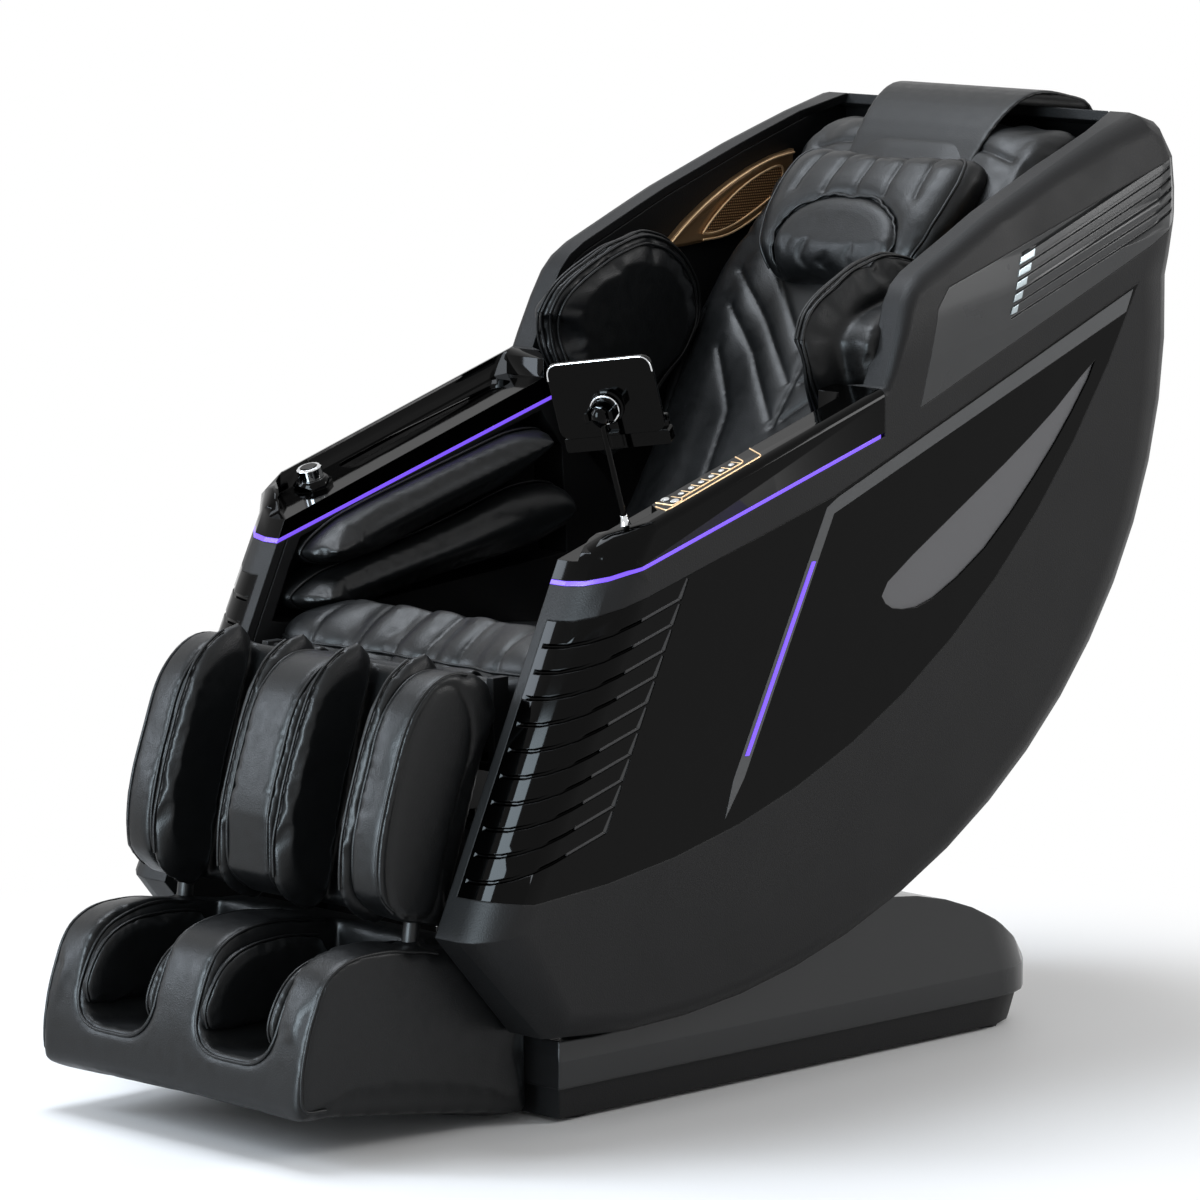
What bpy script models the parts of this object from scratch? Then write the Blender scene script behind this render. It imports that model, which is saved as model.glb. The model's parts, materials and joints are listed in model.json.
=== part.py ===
"""Reclining massage chair: a tub that rocks back on a floor base, with a leg rest, a sliding foot rest,
a massage carriage behind the back cushion, arm consoles and a phone holder.

Metres, +Z up, the sitter faces -Y and "left" is the sitter's left, +X.  Y is measured from a datum plane
through the seat; the root empty then centres the whole chair on the origin, with the floor at Z = 0.
"""
import math

import bmesh
import bpy
from mathutils import Matrix, Vector

# ------------------------------------------------------------------ driving dimensions (metres, degrees)
GAP = 0.0003                    # left between pieces that touch

# side form of the tub, seen from the side as (y, z)
HALF_WIDTH = 0.365              # outer face of a side shell
SHELL_WALL = 0.014
LINER_DEPTH = 0.0156            # the liner's outer face, below the shell's
TUB_CENTRE = (-0.270, 1.030)    # centre of the quarter ellipse of back and underside
TUB_DEPTH = 1.100               # its half axis along Y
TUB_DROP = 0.909                # its half axis along Z
TUB_STEPS = 16
INLET_FACET = 6                 # facet of that ellipse with the mains inlet
BACK_ROUND = 0.120              # corner radius between flank and back
UNDER_ROUND = 0.030             # the same at the underside
FRONT_ROUND = 0.075             # the same at the front edge
CHIN = (-0.400, 0.128)
NOSE = (-0.530, 0.270)
ARM_FRONT = (-0.306, 0.748)
ARM_FRONT_TOP = (-0.283, 0.7705)
ARM_INNER_X = HALF_WIDTH - 0.101    # inner face of the arms
WING_INNER_X = HALF_WIDTH - 0.047   # inner face of the wings
BACK_RIM_X = HALF_WIDTH - 0.165     # where the side shells end on the back
RIM_LOW_Z = 0.450               # the shells' rear edges run in towards BACK_RIM_X between these heights
RIM_HIGH_Z = 0.750
ROUND_STEPS = 4
CREASE = (0.200, 0.940)         # the wings lean in above a line through this point
CREASE_RISE = 0.200
LEAN = 1.200                    # how fast they lean in, per metre above the line
LEAN_STEP = 0.045               # height of one straight step of that curve

# arm, light strip and console
LIGHT_LEVEL = 0.805             # height of the light strip at y = 0
ARM_RISE = 0.300                # its slope
LIGHT_THICKNESS = 0.005
CONSOLE_LEVEL = 0.861           # height of the console's top at y = 0
CONSOLE_RISE = 0.320
CONSOLE_END_Y = 0.193
LIGHT_END_Y = 0.185
WING_FOOT = (0.200, 0.925)
TRAY_DEPTH = 0.026              # the top steps down this much on the sitter's side
TRAY_END_Y = 0.170
CHANNEL_DEPTH = 0.012           # deeper channel in the right console's tray
KNOB_RADIUS = 0.0175
KNOB_HEIGHT = 0.016
KNOB_X = HALF_WIDTH - 0.047
KNOB_Y = -0.212
PEDESTAL_RADIUS = 0.027
PEDESTAL_HEIGHT = 0.012
BUTTON_X = HALF_WIDTH - 0.033
BUTTON_TRAVEL = 0.0012
BUTTON_PROUD = 0.0022
BUTTON_LENGTH = 0.0100
BUTTON_CLEARANCE = 0.0004
ROUND_BUTTON_RADIUS = 0.0062
KEY_RADIUS = 0.0045
KEY_COUNT = 6
KEY_PITCH = 0.0184
KEY_START = 0.0205              # from the pair of round buttons to the first key

# flank panel, its louvres, trim and light bar
PANEL_EDGE_X = HALF_WIDTH - 0.085   # the matte front edge of the shell ends here
BAND_DROP = 0.040               # matte band left below the light strip
PANEL_TOP_BREAK = (0.100, 0.790)
PANEL_REAR_TIP = (0.700, 1.030)
PANEL_LOW_FRONT = (-0.450, 0.316)
PANEL_LOW_PULL = (0.340, 0.350)
LOUVRE_COUNT = 10
LOUVRE_FIRST_DROP = 0.064
LOUVRE_PITCH = 0.0275
LOUVRE_HEIGHT = 0.0050
LOUVRE_DEPTH = 0.004
LOUVRE_END = (-0.190, -0.0151)  # y of the first hook, and the step to the next
LOUVRE_HOOK = (0.012, 0.024)
TRIM_DEPTH = 0.004
TRIM_WIDTH = 0.028
TRIM_TIP = (-0.107, 0.383)
TRIM_LEG_HALF = 0.010
LIGHT_BAR_TOP = 0.706           # heights of the light bar's ends
LIGHT_BAR_END = 0.462
LIGHT_BAR_WIDTH = 0.007
SCOOP_DEPTH = 0.005

# upper panel and its grooves
UPPER_FRONT_LOW = (0.262, 0.893)
UPPER_FRONT_HIGH = (0.300, 1.020)
UPPER_TOP_FRONT = (0.325, 1.048)
UPPER_END_Y = 0.800
UPPER_TOP_RISE = 0.385
UPPER_LOW_RISE = 0.400
VENT_COUNT = 6
VENT_PITCH = 0.0165
VENT_HEIGHT = 0.005

# seat and back
SEAT_FRONT_Y = -0.352
SEAT_BOTTOM_Z = 0.460
SEAT_REAR_Y = 0.150
SEAT_HALF_WIDTH = ARM_INNER_X - 0.0005
BACK_START = (0.170, 0.540)     # foot of the back's front line
BACK_SLOPE = 36.7               # degrees from the vertical
BACK_LENGTH = 0.780
BACK_THICKNESS = 0.085
BACK_LOW_HALF = ARM_INNER_X - 0.014
BACK_HIGH_HALF = WING_INNER_X - 0.020

# rocking cradle
TILT_RANGE = 25.0
RAIL_RADIUS = 0.820             # running edge of the curved rails
RAIL_LOW_Z = 0.330              # its lowest point
TILT_CENTRE = (0.050, RAIL_LOW_Z + RAIL_RADIUS)
RAIL_X = ARM_INNER_X - 0.033
RAIL_WIDTH = 0.012
RAIL_DEPTH = 0.075
RAIL_ANGLES = (-25.0, 28.0)
SHOE_ANGLES = (-20.0, -2.0)
SHOE_SPAN = 3.0
SHOE_CHEEK = 0.005
TUBE_RADIUS = 0.012
DRIVE_ANGLE = -11.0             # the drive rollers touch the rails here
DRIVE_RADIUS = 0.0300
DRIVE_SHAFT = 0.0080

# base
BASE_HALF_WIDTH = HALF_WIDTH - 0.065
BASE_FRONT_Y = -0.345
BASE_REAR_Y = 0.622
BASE_CORNER = 0.120
PLINTH_TOP_Z = 0.048
FOOT_HEIGHT = 0.006
FOOT_RADIUS = 0.026
COVER_CLEARANCE = 0.012         # between the cover and the tub above it
COVER_CREST_Z = 0.212
WELL_HALF_WIDTH = BASE_HALF_WIDTH - 0.038
WELL_FRONT_Y = -0.300
WELL_REAR_Y = 0.300

# leg rest and foot rest
LEG_PIVOT = (-0.374, 0.572)
LEG_PIVOT_RADIUS = 0.009
LEG_RANGE = 70.0
LEG_LEAN = 8.0                  # the leg rest hangs this many degrees forward
LEG_HALF_WIDTH = ARM_INNER_X - 0.014
LEG_WALL = 0.060                # outer walls of the leg block
LEG_CENTRE_HALF = 0.045         # half of its centre wall
LEG_PAD = 0.022
FOOT_HALF_WIDTH = LEG_HALF_WIDTH + 0.006
FOOT_EXTENSION = 0.100
ROD_RADIUS = 0.011
ROD_LENGTH = 0.150
SOLE_ROLLER_RADIUS = 0.017

# massage track and carriage
TRACK_HALF = 0.150              # inner face of a channel's web
TRACK_WEB = 0.008
TRACK_REACH = 0.200             # how far behind the back's front line the channels reach
CARRIAGE_HALF_LENGTH = 0.060
CARRIAGE_START = 0.150
CARRIAGE_TRAVEL = 0.480
KNEAD_OFFSET = 0.137            # kneading shaft behind the back's front line
KNEAD_RADIUS = 0.034
KNEAD_THROW = 0.011

# phone holder
PHONE_FOOT = (HALF_WIDTH - 0.052, -0.232)    # x, y of the stem's foot, on the console's lower level
PHONE_STEM = 0.170
PHONE_SWIVEL = 26.0             # the holder is turned this much towards the sitter
PHONE_PLATE = (0.144, 0.104, 0.006)
PHONE_CLAMP_TRAVEL = 0.030

# finishes: colour, roughness, metallic
MATTE_BLACK = ((0.018, 0.018, 0.019), 0.62, 0.0)
GLOSS_BLACK = ((0.004, 0.004, 0.004), 0.08, 0.0)
SATIN_GREY = ((0.070, 0.070, 0.072), 0.35, 0.0)
BASE_GREY = ((0.060, 0.061, 0.063), 0.18, 0.0)
LEATHER = ((0.016, 0.018, 0.019), 0.45, 0.0)
LIGHT_VIOLET = ((0.250, 0.100, 1.000), 0.30, 0.0)
BRONZE = ((0.560, 0.350, 0.190), 0.30, 1.0)
CHROME = ((0.800, 0.800, 0.810), 0.08, 1.0)
STEEL = ((0.250, 0.250, 0.260), 0.45, 1.0)


# ------------------------------------------------------------------ drawing in the side view
def light_line(y):
    """Height of the light strip's middle plane."""
    return LIGHT_LEVEL + ARM_RISE * y


def console_top(y):
    """Height of the console's top face."""
    return CONSOLE_LEVEL + CONSOLE_RISE * y


def lerp(a, b, t):
    """Value or point at share t of the way from a to b."""
    if isinstance(a, tuple):
        return tuple(lerp(p, q, t) for p, q in zip(a, b))
    return a + (b - a) * t


def polar(centre, radius, angle):
    """Point of the side view at an angle from straight down, positive towards the rear."""
    a = math.radians(angle)
    return (centre[0] + radius * math.sin(a), centre[1] - radius * math.cos(a))


def fan(centre, radius, start, end, steps):
    """Points of a round edge of the side view."""
    return [polar(centre, radius, lerp(start, end, i / steps)) for i in range(steps + 1)]


def circle(centre, radius, steps):
    """Closed ring of points."""
    return fan(centre, radius, 0.0, 360.0 * (steps - 1) / steps, steps - 1)


def bezier(start, pull, end, steps):
    """Points of a quadratic curve."""
    return [lerp(lerp(start, pull, t), lerp(pull, end, t), t) for t in (i / steps for i in range(steps + 1))]


def smooth(points, steps, closed=True):
    """Smooth curve through the points."""
    count = len(points)
    result = []
    for i in range(count if closed else count - 1):
        if closed:
            p0, p1, p2, p3 = (points[(i + k) % count] for k in (-1, 0, 1, 2))
        else:
            p0, p1, p2, p3 = (points[min(max(i + k, 0), count - 1)] for k in (-1, 0, 1, 2))
        for step in range(steps):
            t = step / steps
            result.append(tuple(0.5 * (2 * b + (c - a) * t + (2 * a - 5 * b + 4 * c - d) * t * t
                                       + (3 * b - a - 3 * c + d) * t ** 3)
                                for a, b, c, d in zip(p0, p1, p2, p3)))
    if not closed:
        result.append(tuple(points[-1]))
    return result


def inset(points, distance):
    """Outline moved inwards; distance is one number, or one for each point."""
    area = sum(a[0] * b[1] - b[0] * a[1] for a, b in zip(points, points[1:] + points[:1]))
    turn = 1 if area > 0 else -1
    moved = []
    for i, p in enumerate(points):
        before = (Vector(p) - Vector(points[i - 1])).normalized()
        after = (Vector(points[(i + 1) % len(points)]) - Vector(p)).normalized()
        normal = Vector((-(before.y + after.y), before.x + after.x)) * turn
        normal.normalize()
        spread = max(normal.dot(Vector((-before.y, before.x)) * turn), 0.4)
        reach = distance[i] if isinstance(distance, list) else distance
        moved.append(tuple(Vector(p) + normal * (reach / spread)))
    return moved


def rounded_rectangle(x0, x1, y0, y1, radius, steps=3):
    """Rectangle with round corners, anticlockwise."""
    points = []
    for cx, cy, start in ((x1 - radius, y0 + radius, 0), (x1 - radius, y1 - radius, 90),
                          (x0 + radius, y1 - radius, 180), (x0 + radius, y0 + radius, 270)):
        points += fan((cx, cy), radius, start, start + 90, steps)
    return points


# ------------------------------------------------------------------ solids
def loft(rings):
    """Closed solid through rings of equal count, with a face over each end."""
    bm = bmesh.new()
    rows = [[bm.verts.new(p) for p in ring] for ring in rings]
    for low, high in zip(rows, rows[1:]):
        for i in range(len(low)):
            j = (i + 1) % len(low)
            bm.faces.new((low[i], low[j], high[j], high[i]))
    bm.faces.new(list(reversed(rows[0])))
    bm.faces.new(rows[-1])
    bmesh.ops.recalc_face_normals(bm, faces=bm.faces)
    return bm


def prism(outline, x0, x1):
    """Side view outline (y, z) extruded from x0 to x1."""
    return loft([[(x, y, z) for y, z in outline] for x in (x0, x1)])


def slab(outline, low, high):
    """Plan outline (x, y) between two heights; each is a number or a function of y."""
    return loft([[(x, y, h(y) if callable(h) else h) for x, y in outline] for h in (low, high)])


def rod(start, end, radius, steps=16):
    """Round bar between two points."""
    axis = Vector(end) - Vector(start)
    turn = axis.to_track_quat("Z", "Y").to_matrix().to_4x4()
    bm = bmesh.new()
    bmesh.ops.create_cone(bm, cap_ends=True, segments=steps, radius1=radius, radius2=radius, depth=axis.length,
                          matrix=Matrix.Translation((Vector(start) + Vector(end)) / 2) @ turn)
    return bm


def turned(start, direction, profile, steps=20):
    """Solid of revolution: profile holds (distance along the axis, radius)."""
    axis = Vector(direction).normalized()
    turn = axis.to_track_quat("Z", "Y").to_matrix()
    rings = []
    for along, radius in profile:
        centre = Vector(start) + axis * along
        rings.append([centre + turn @ Vector((radius * math.cos(a), radius * math.sin(a), 0))
                      for a in (2 * math.pi * i / steps for i in range(steps))])
    return loft(rings)


def spine(outline):
    """Middle line of a long outline: between its two farthest points, drawn in at both ends."""
    points = [Vector(p) for p in outline]
    start, end = max(((a, b) for a in points for b in points), key=lambda pair: (pair[0] - pair[1]).length)
    area = abs(sum(a.x * b.y - b.x * a.y for a, b in zip(points, points[1:] + points[:1]))) / 2
    length = (end - start).length
    share = min(0.6 * area / length / length, 0.45)
    return start.lerp(end, share), start.lerp(end, 1 - share)


def drawn_in(outline, distance):
    """Outline pulled towards its spine, never past it."""
    start, end = spine(outline)
    axis = end - start
    moved = []
    for p in outline:
        point = Vector(p)
        share = min(max((point - start).dot(axis) / axis.length_squared, 0.0), 1.0)
        pull = start + axis * share - point
        moved.append(tuple(point + pull * min(distance / pull.length, 0.7)))
    return moved


def cushion(outline, base_x, height, edge=0.006, root=0.0):
    """Pad on a wall: an outline of the side view that swells from base_x by height, over a smaller root."""
    levels = ((edge, 0.0), (0.0, 0.22), (0.0, 0.5), (edge, 0.75), (edge * 2.6, 0.9), (edge * 4.5, 0.97),
              (edge * 7.0, 1.0))
    rings = [[(base_x + height * share, y, z) for y, z in drawn_in(outline, pull)] for pull, share in levels]
    if root:
        foot = drawn_in(outline, edge * 7.5)
        sign = -1 if height > 0 else 1
        rings[0] = [(base_x + sign * 0.0003, y, z) for y, z in foot]
        rings.insert(0, [(base_x + sign * root, y, z) for y, z in foot])
        rings.insert(2, [(base_x, y, z) for y, z in drawn_in(outline, edge)])
    return loft(rings)


def strip_pad(stations, columns, crown):
    """Upholstered strip: stations hold (y, z, up direction, half width, thickness), columns (share, dip)."""
    rings = []
    for index, (y, z, up, half, thick) in enumerate(stations):
        ring = []
        edge = 0.55 if index in (0, len(stations) - 1) else 1.0
        for share, dip in columns:
            rise = crown * edge * (1 - share ** 4) - dip * edge
            ring.append((share * half, y + up[0] * rise, z + up[1] * rise))
        low = (y - up[0] * thick, z - up[1] * thick)
        side = (y - up[0] * thick * 0.45, z - up[1] * thick * 0.45)
        ring.append((half, *side))
        ring.append((half, *low))
        ring.append((-half, *low))
        ring.append((-half, *side))
        rings.append([(x * (0.985 if index in (0, len(stations) - 1) else 1.0), py, pz) for x, py, pz in ring])
    return loft(rings)


# ------------------------------------------------------------------ objects
def material(name, finish):
    colour, roughness, metallic = finish
    mat = bpy.data.materials.new(name)
    mat.use_nodes = True
    shader = mat.node_tree.nodes["Principled BSDF"]
    shader.inputs["Base Color"].default_value = (*colour, 1.0)
    shader.inputs["Roughness"].default_value = roughness
    shader.inputs["Metallic"].default_value = metallic
    mat.diffuse_color = (*colour, 1.0)
    return mat


def empty(name, parent=None, place=(0, 0, 0)):
    """Carrier of one moving group; place is its joint's anchor, measured from the datum."""
    obj = bpy.data.objects.new(name, None)
    obj.empty_display_size = 0.05
    obj["anchor"] = tuple(place)
    obj.parent = parent
    obj.location = Vector(place) - (Vector(parent["anchor"]) if parent else Vector((0, 0, 0)))
    bpy.context.scene.collection.objects.link(obj)
    return obj


def solid(name, bm, finish, body):
    """Object on a body, its origin on the body's joint."""
    bmesh.ops.translate(bm, verts=bm.verts, vec=-Vector(body["anchor"]))
    mesh = bpy.data.meshes.new(name)
    bm.to_mesh(mesh)
    bm.free()
    mesh.set_sharp_from_angle(angle=math.radians(35))
    obj = bpy.data.objects.new(name, mesh)
    obj.data.materials.append(material(name, finish))
    obj.parent = body
    bpy.context.scene.collection.objects.link(obj)
    return obj


def combine(base, other, operation):
    """Exact boolean of two meshes; both are used up."""
    objects = []
    for bm in (base, other):
        mesh = bpy.data.meshes.new("work")
        bmesh.ops.triangulate(bm, faces=[f for f in bm.faces if len(f.verts) > 4])
        bm.to_mesh(mesh)
        bm.free()
        obj = bpy.data.objects.new("work", mesh)
        bpy.context.scene.collection.objects.link(obj)
        objects.append(obj)
    modifier = objects[0].modifiers.new("work", "BOOLEAN")
    modifier.operation = operation
    modifier.object = objects[1]
    modifier.solver = "EXACT"
    result = bmesh.new()
    result.from_object(objects[0], bpy.context.evaluated_depsgraph_get())
    for obj in objects:
        mesh = obj.data
        bpy.data.objects.remove(obj)
        bpy.data.meshes.remove(mesh)
    bmesh.ops.dissolve_limit(result, angle_limit=math.radians(0.2), verts=result.verts, edges=result.edges)
    return result


def cut(base, *others):
    for other in others:
        base = combine(base, other, "DIFFERENCE")
    return base


def fuse(base, *others):
    for other in others:
        base = combine(base, other, "UNION")
    return base


def meet(base, other):
    return combine(base, other, "INTERSECT")


def mirrored(bm, side):
    """The same piece for the other side of the chair when side is -1."""
    if side < 0:
        bmesh.ops.scale(bm, verts=bm.verts, vec=(-1, 1, 1))
        bmesh.ops.reverse_faces(bm, faces=bm.faces)
    return bm


# ------------------------------------------------------------------ side form of the tub
def rim_x(z):
    """Where the shell's inner rim runs on the rear."""
    t = (z - RIM_LOW_Z) / (RIM_HIGH_Z - RIM_LOW_Z)
    return lerp(ARM_INNER_X, BACK_RIM_X, min(max(t, 0.0), 1.0))


def tub_rows():
    """Outline of the side form, console included: rows of y, z, edge radius, inner rim x."""
    rows = []
    for i in range(TUB_STEPS + 1):
        a = math.radians(90 * i / TUB_STEPS)
        y = TUB_CENTRE[0] + TUB_DEPTH * math.cos(a)
        z = TUB_CENTRE[1] - TUB_DROP * math.sin(a)
        rows.append((y, z, lerp(BACK_ROUND, UNDER_ROUND, math.sin(a)), rim_x(z)))
    rows += [(*CHIN, 0.04, ARM_INNER_X), (*NOSE, 0.06, ARM_INNER_X),
             (*ARM_FRONT, FRONT_ROUND, ARM_INNER_X), (*ARM_FRONT_TOP, 0.045, ARM_INNER_X),
             (-0.235, console_top(-0.235), 0.012, ARM_INNER_X),
             (WING_FOOT[0] - 0.015, console_top(WING_FOOT[0] - 0.015), 0.012, ARM_INNER_X),
             (*WING_FOOT, 0.012, WING_INNER_X), (0.245, 1.030, 0.018, WING_INNER_X),
             (0.262, 1.052, 0.020, WING_INNER_X), (0.285, 1.068, 0.020, WING_INNER_X),
             (0.437, 1.138, 0.020, WING_INNER_X), (0.575, 1.192, 0.020, WING_INNER_X),
             (0.690, 1.233, 0.025, WING_INNER_X), (0.765, 1.256, 0.030, WING_INNER_X - 0.018),
             (0.805, 1.245, 0.045, WING_INNER_X - 0.058), (0.828, 1.200, 0.060, WING_INNER_X - 0.098),
             (0.834, 1.120, 0.090, BACK_RIM_X)]
    return rows


def tub_rings(depth, inner_x=None):
    """Rings of the side form, depth below its outer surface, from the inner rim to the outer face."""
    rows = tub_rows()
    outline = [(y, z) for y, z, _, _ in rows]
    radii = [max(r - depth, 0.002) for _, _, r, _ in rows]
    first = HALF_WIDTH - depth
    rims = [min(inner_x or rim, first - r - 0.0005) for (_, _, _, rim), r in zip(rows, radii)]
    start = inset(outline, depth)
    rings = [[(x, y, z) for x, (y, z) in zip(rims, start)]]
    for step in range(ROUND_STEPS + 1):
        a = math.radians(90 * step / ROUND_STEPS)
        moved = inset(outline, [depth + r * (1 - math.cos(a)) for r in radii])
        rings.append([(first - r * (1 - math.sin(a)), y, z) for r, (y, z) in zip(radii, moved)])
    return rings


def tub_solid(depth=0.0, inner_x=None):
    return loft(tub_rings(depth, inner_x))


def tub_bowl():
    """Moulded side shell of one wall thickness, open towards the seat."""
    return loft(list(reversed(tub_rings(SHELL_WALL))) + tub_rings(0.0))


def lean(above):
    """Inward shift at a height above the crease line: a parabola drawn in straight steps."""
    step = max(above, 0.0) / LEAN_STEP
    whole = int(step)
    return LEAN * LEAN_STEP ** 2 * (whole ** 2 + (step - whole) * (2 * whole + 1))


def lean_in(bm):
    """The wings curve inwards above the crease line."""
    normal = Vector((0, -CREASE_RISE, 1)).normalized()
    origin = Vector((0, *CREASE))
    for step in range(6):
        bmesh.ops.bisect_plane(bm, geom=bm.verts[:] + bm.edges[:] + bm.faces[:], dist=1e-6,
                               plane_co=origin + normal * LEAN_STEP * step, plane_no=normal)
    for v in bm.verts:
        v.co.x -= math.copysign(lean((v.co - origin).dot(normal)), v.co.x)
    return bm


def over_arm(low, end_y, grow=0.0):
    """Side view region above the light line, shifted by low."""
    return [(-0.70, light_line(-0.70) + low), (end_y + grow, light_line(end_y + grow) + low),
            (end_y + grow, 1.2), (-0.70, 1.2)]


def panel_region():
    """Side view outline of the gloss flank panel."""
    top = [(-0.70, light_line(-0.70) - BAND_DROP), (-0.30, light_line(-0.30) - BAND_DROP), PANEL_TOP_BREAK]
    low = bezier(PANEL_LOW_FRONT, PANEL_LOW_PULL, PANEL_REAR_TIP, 12)
    return top + list(reversed(low)) + [(-0.70, 0.345)]


def upper_region():
    """Side view outline of the satin upper panel."""
    run_top = UPPER_END_Y - UPPER_TOP_FRONT[0]
    run_low = UPPER_END_Y - UPPER_FRONT_LOW[0]
    return [UPPER_FRONT_LOW, UPPER_FRONT_HIGH, UPPER_TOP_FRONT,
            (UPPER_END_Y, UPPER_TOP_FRONT[1] + UPPER_TOP_RISE * run_top - 0.035),
            (UPPER_END_Y, UPPER_FRONT_LOW[1] + UPPER_LOW_RISE * run_low)]


def skin_cutter(strips, x0, depth):
    """Grooves of the given depth below the tub's surface, one for each side view strip."""
    bm = bmesh.new()
    for strip in strips:
        mesh = bpy.data.meshes.new("strip")
        part = prism(strip, x0, HALF_WIDTH + 0.05)
        part.to_mesh(mesh)
        part.free()
        bm.from_mesh(mesh)
        bpy.data.meshes.remove(mesh)
    return combine(bm, tub_solid(depth), "DIFFERENCE")


def louvre_strips():
    """Ten grooves that run with the arm and hook upwards."""
    strips = []
    for i in range(LOUVRE_COUNT):
        drop = LOUVRE_FIRST_DROP + LOUVRE_PITCH * i
        end = LOUVRE_END[0] + LOUVRE_END[1] * i
        hook = (end + LOUVRE_HOOK[0], light_line(end) - drop + LOUVRE_HOOK[1])
        high = [(-0.70, light_line(-0.70) - drop), (end - 0.004, light_line(end - 0.004) - drop), hook]
        low = [(hook[0] + 0.004, hook[1] - 0.001), (end + 0.003, light_line(end + 0.003) - drop - LOUVRE_HEIGHT),
               (-0.70, light_line(-0.70) - drop - LOUVRE_HEIGHT)]
        strips.append(high + low)
    return strips


def vent_strips():
    """Grooves of the upper panel, parallel to its edges."""
    strips = []
    for i in range(VENT_COUNT):
        start = (0.470 - 0.006 * i, 1.085 - VENT_PITCH * i)
        end = (UPPER_END_Y - 0.012, start[1] + 0.36 * (UPPER_END_Y - 0.012 - start[0]))
        strips.append([start, end, (end[0], end[1] - VENT_HEIGHT), (start[0], start[1] - VENT_HEIGHT)])
    return strips


def scoop_outline():
    """Crescent recess of the flank panel: a pointed upper end and a round lower end."""
    points = [(0.612, 0.930), (0.530, 0.868), (0.430, 0.803), (0.310, 0.732), (0.200, 0.664), (0.196, 0.636),
              (0.232, 0.624), (0.290, 0.634), (0.391, 0.691), (0.490, 0.780), (0.565, 0.862)]
    return smooth(points, 2)


def trim_region():
    """Satin strip along the panel's top edge with the slanted strip that ends in a point."""
    start = PANEL_TOP_BREAK
    tip = PANEL_REAR_TIP
    slope = (tip[1] - start[1]) / (tip[0] - start[0])
    edge = 0.0035
    high = [(start[0] + 0.002, start[1] - edge), (tip[0] - 0.012, tip[1] - slope * 0.012 - edge)]
    low = [(tip[0] - 0.026, tip[1] - slope * 0.026 - TRIM_WIDTH),
           (leg_y(start[1] - TRIM_WIDTH) + TRIM_LEG_HALF, start[1] - TRIM_WIDTH + 0.004)]
    knee = TRIM_TIP[1] + 0.050
    leg = [(leg_y(knee) + TRIM_LEG_HALF, knee), TRIM_TIP, (leg_y(knee) - TRIM_LEG_HALF, knee)]
    return high + low + leg + [(leg_y(start[1] - 0.015) - TRIM_LEG_HALF, start[1] - 0.015)]


def leg_y(z):
    """Middle line of the slanted strip."""
    return lerp(TRIM_TIP[0], PANEL_TOP_BREAK[0], (z - TRIM_TIP[1]) / (PANEL_TOP_BREAK[1] - TRIM_TIP[1]))


def light_bar_region():
    """Slanted light bar inside its strip."""
    half = LIGHT_BAR_WIDTH / 2
    top, end = LIGHT_BAR_TOP, LIGHT_BAR_END
    return [(leg_y(top) - half, top), (leg_y(top) + half, top), (leg_y(end) + half, end), (leg_y(end) - half, end)]


# ------------------------------------------------------------------ side pieces, one pair each
def add_shells(chair):
    for side, word in ((1, "left"), (-1, "right")):
        low = -LIGHT_THICKNESS / 2 - GAP
        shell = cut(tub_bowl(),
                    prism(over_arm(low, CONSOLE_END_Y, GAP), 0.2, 0.5),
                    prism(inset(panel_region(), -GAP), PANEL_EDGE_X - GAP, 0.5),
                    prism(inset(upper_region(), -GAP), 0.15, 0.5))
        solid("side_shell_" + word, mirrored(lean_in(shell), side), MATTE_BLACK, chair)


def add_panels(chair):
    for side, word in ((1, "left"), (-1, "right")):
        panel = meet(tub_bowl(), prism(panel_region(), PANEL_EDGE_X, 0.5))
        panel = cut(panel, skin_cutter(louvre_strips(), PANEL_EDGE_X + 0.006, LOUVRE_DEPTH),
                    prism(inset(trim_region(), -GAP), HALF_WIDTH - TRIM_DEPTH - GAP, 0.5),
                    prism(scoop_outline(), HALF_WIDTH - SCOOP_DEPTH, 0.5))
        solid("side_panel_" + word, mirrored(panel, side), GLOSS_BLACK, chair)
        trim = cut(prism(trim_region(), HALF_WIDTH - TRIM_DEPTH, HALF_WIDTH + 0.0005),
                   prism(inset(light_bar_region(), -GAP), 0.3, 0.5))
        solid("panel_trim_" + word, mirrored(trim, side), SATIN_GREY, chair)
        bar = prism(light_bar_region(), HALF_WIDTH - TRIM_DEPTH, HALF_WIDTH + 0.0015)
        solid("panel_light_" + word, mirrored(bar, side), LIGHT_VIOLET, chair)
        upper = meet(tub_bowl(), prism(upper_region(), 0.15, 0.5))
        upper = cut(upper, skin_cutter(vent_strips(), 0.2, LOUVRE_DEPTH))
        solid("upper_panel_" + word, mirrored(lean_in(upper), side), SATIN_GREY, chair)


def arm_recess():
    """Side view of the forearm recess in the arm's inner wall."""
    return [(-0.336, 0.600), (-0.304, 0.672), (-0.284, light_line(-0.284) - 0.010),
            (0.165, light_line(0.165) - 0.010), (0.205, 0.790), (0.215, 0.640), (-0.310, 0.595)]


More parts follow.
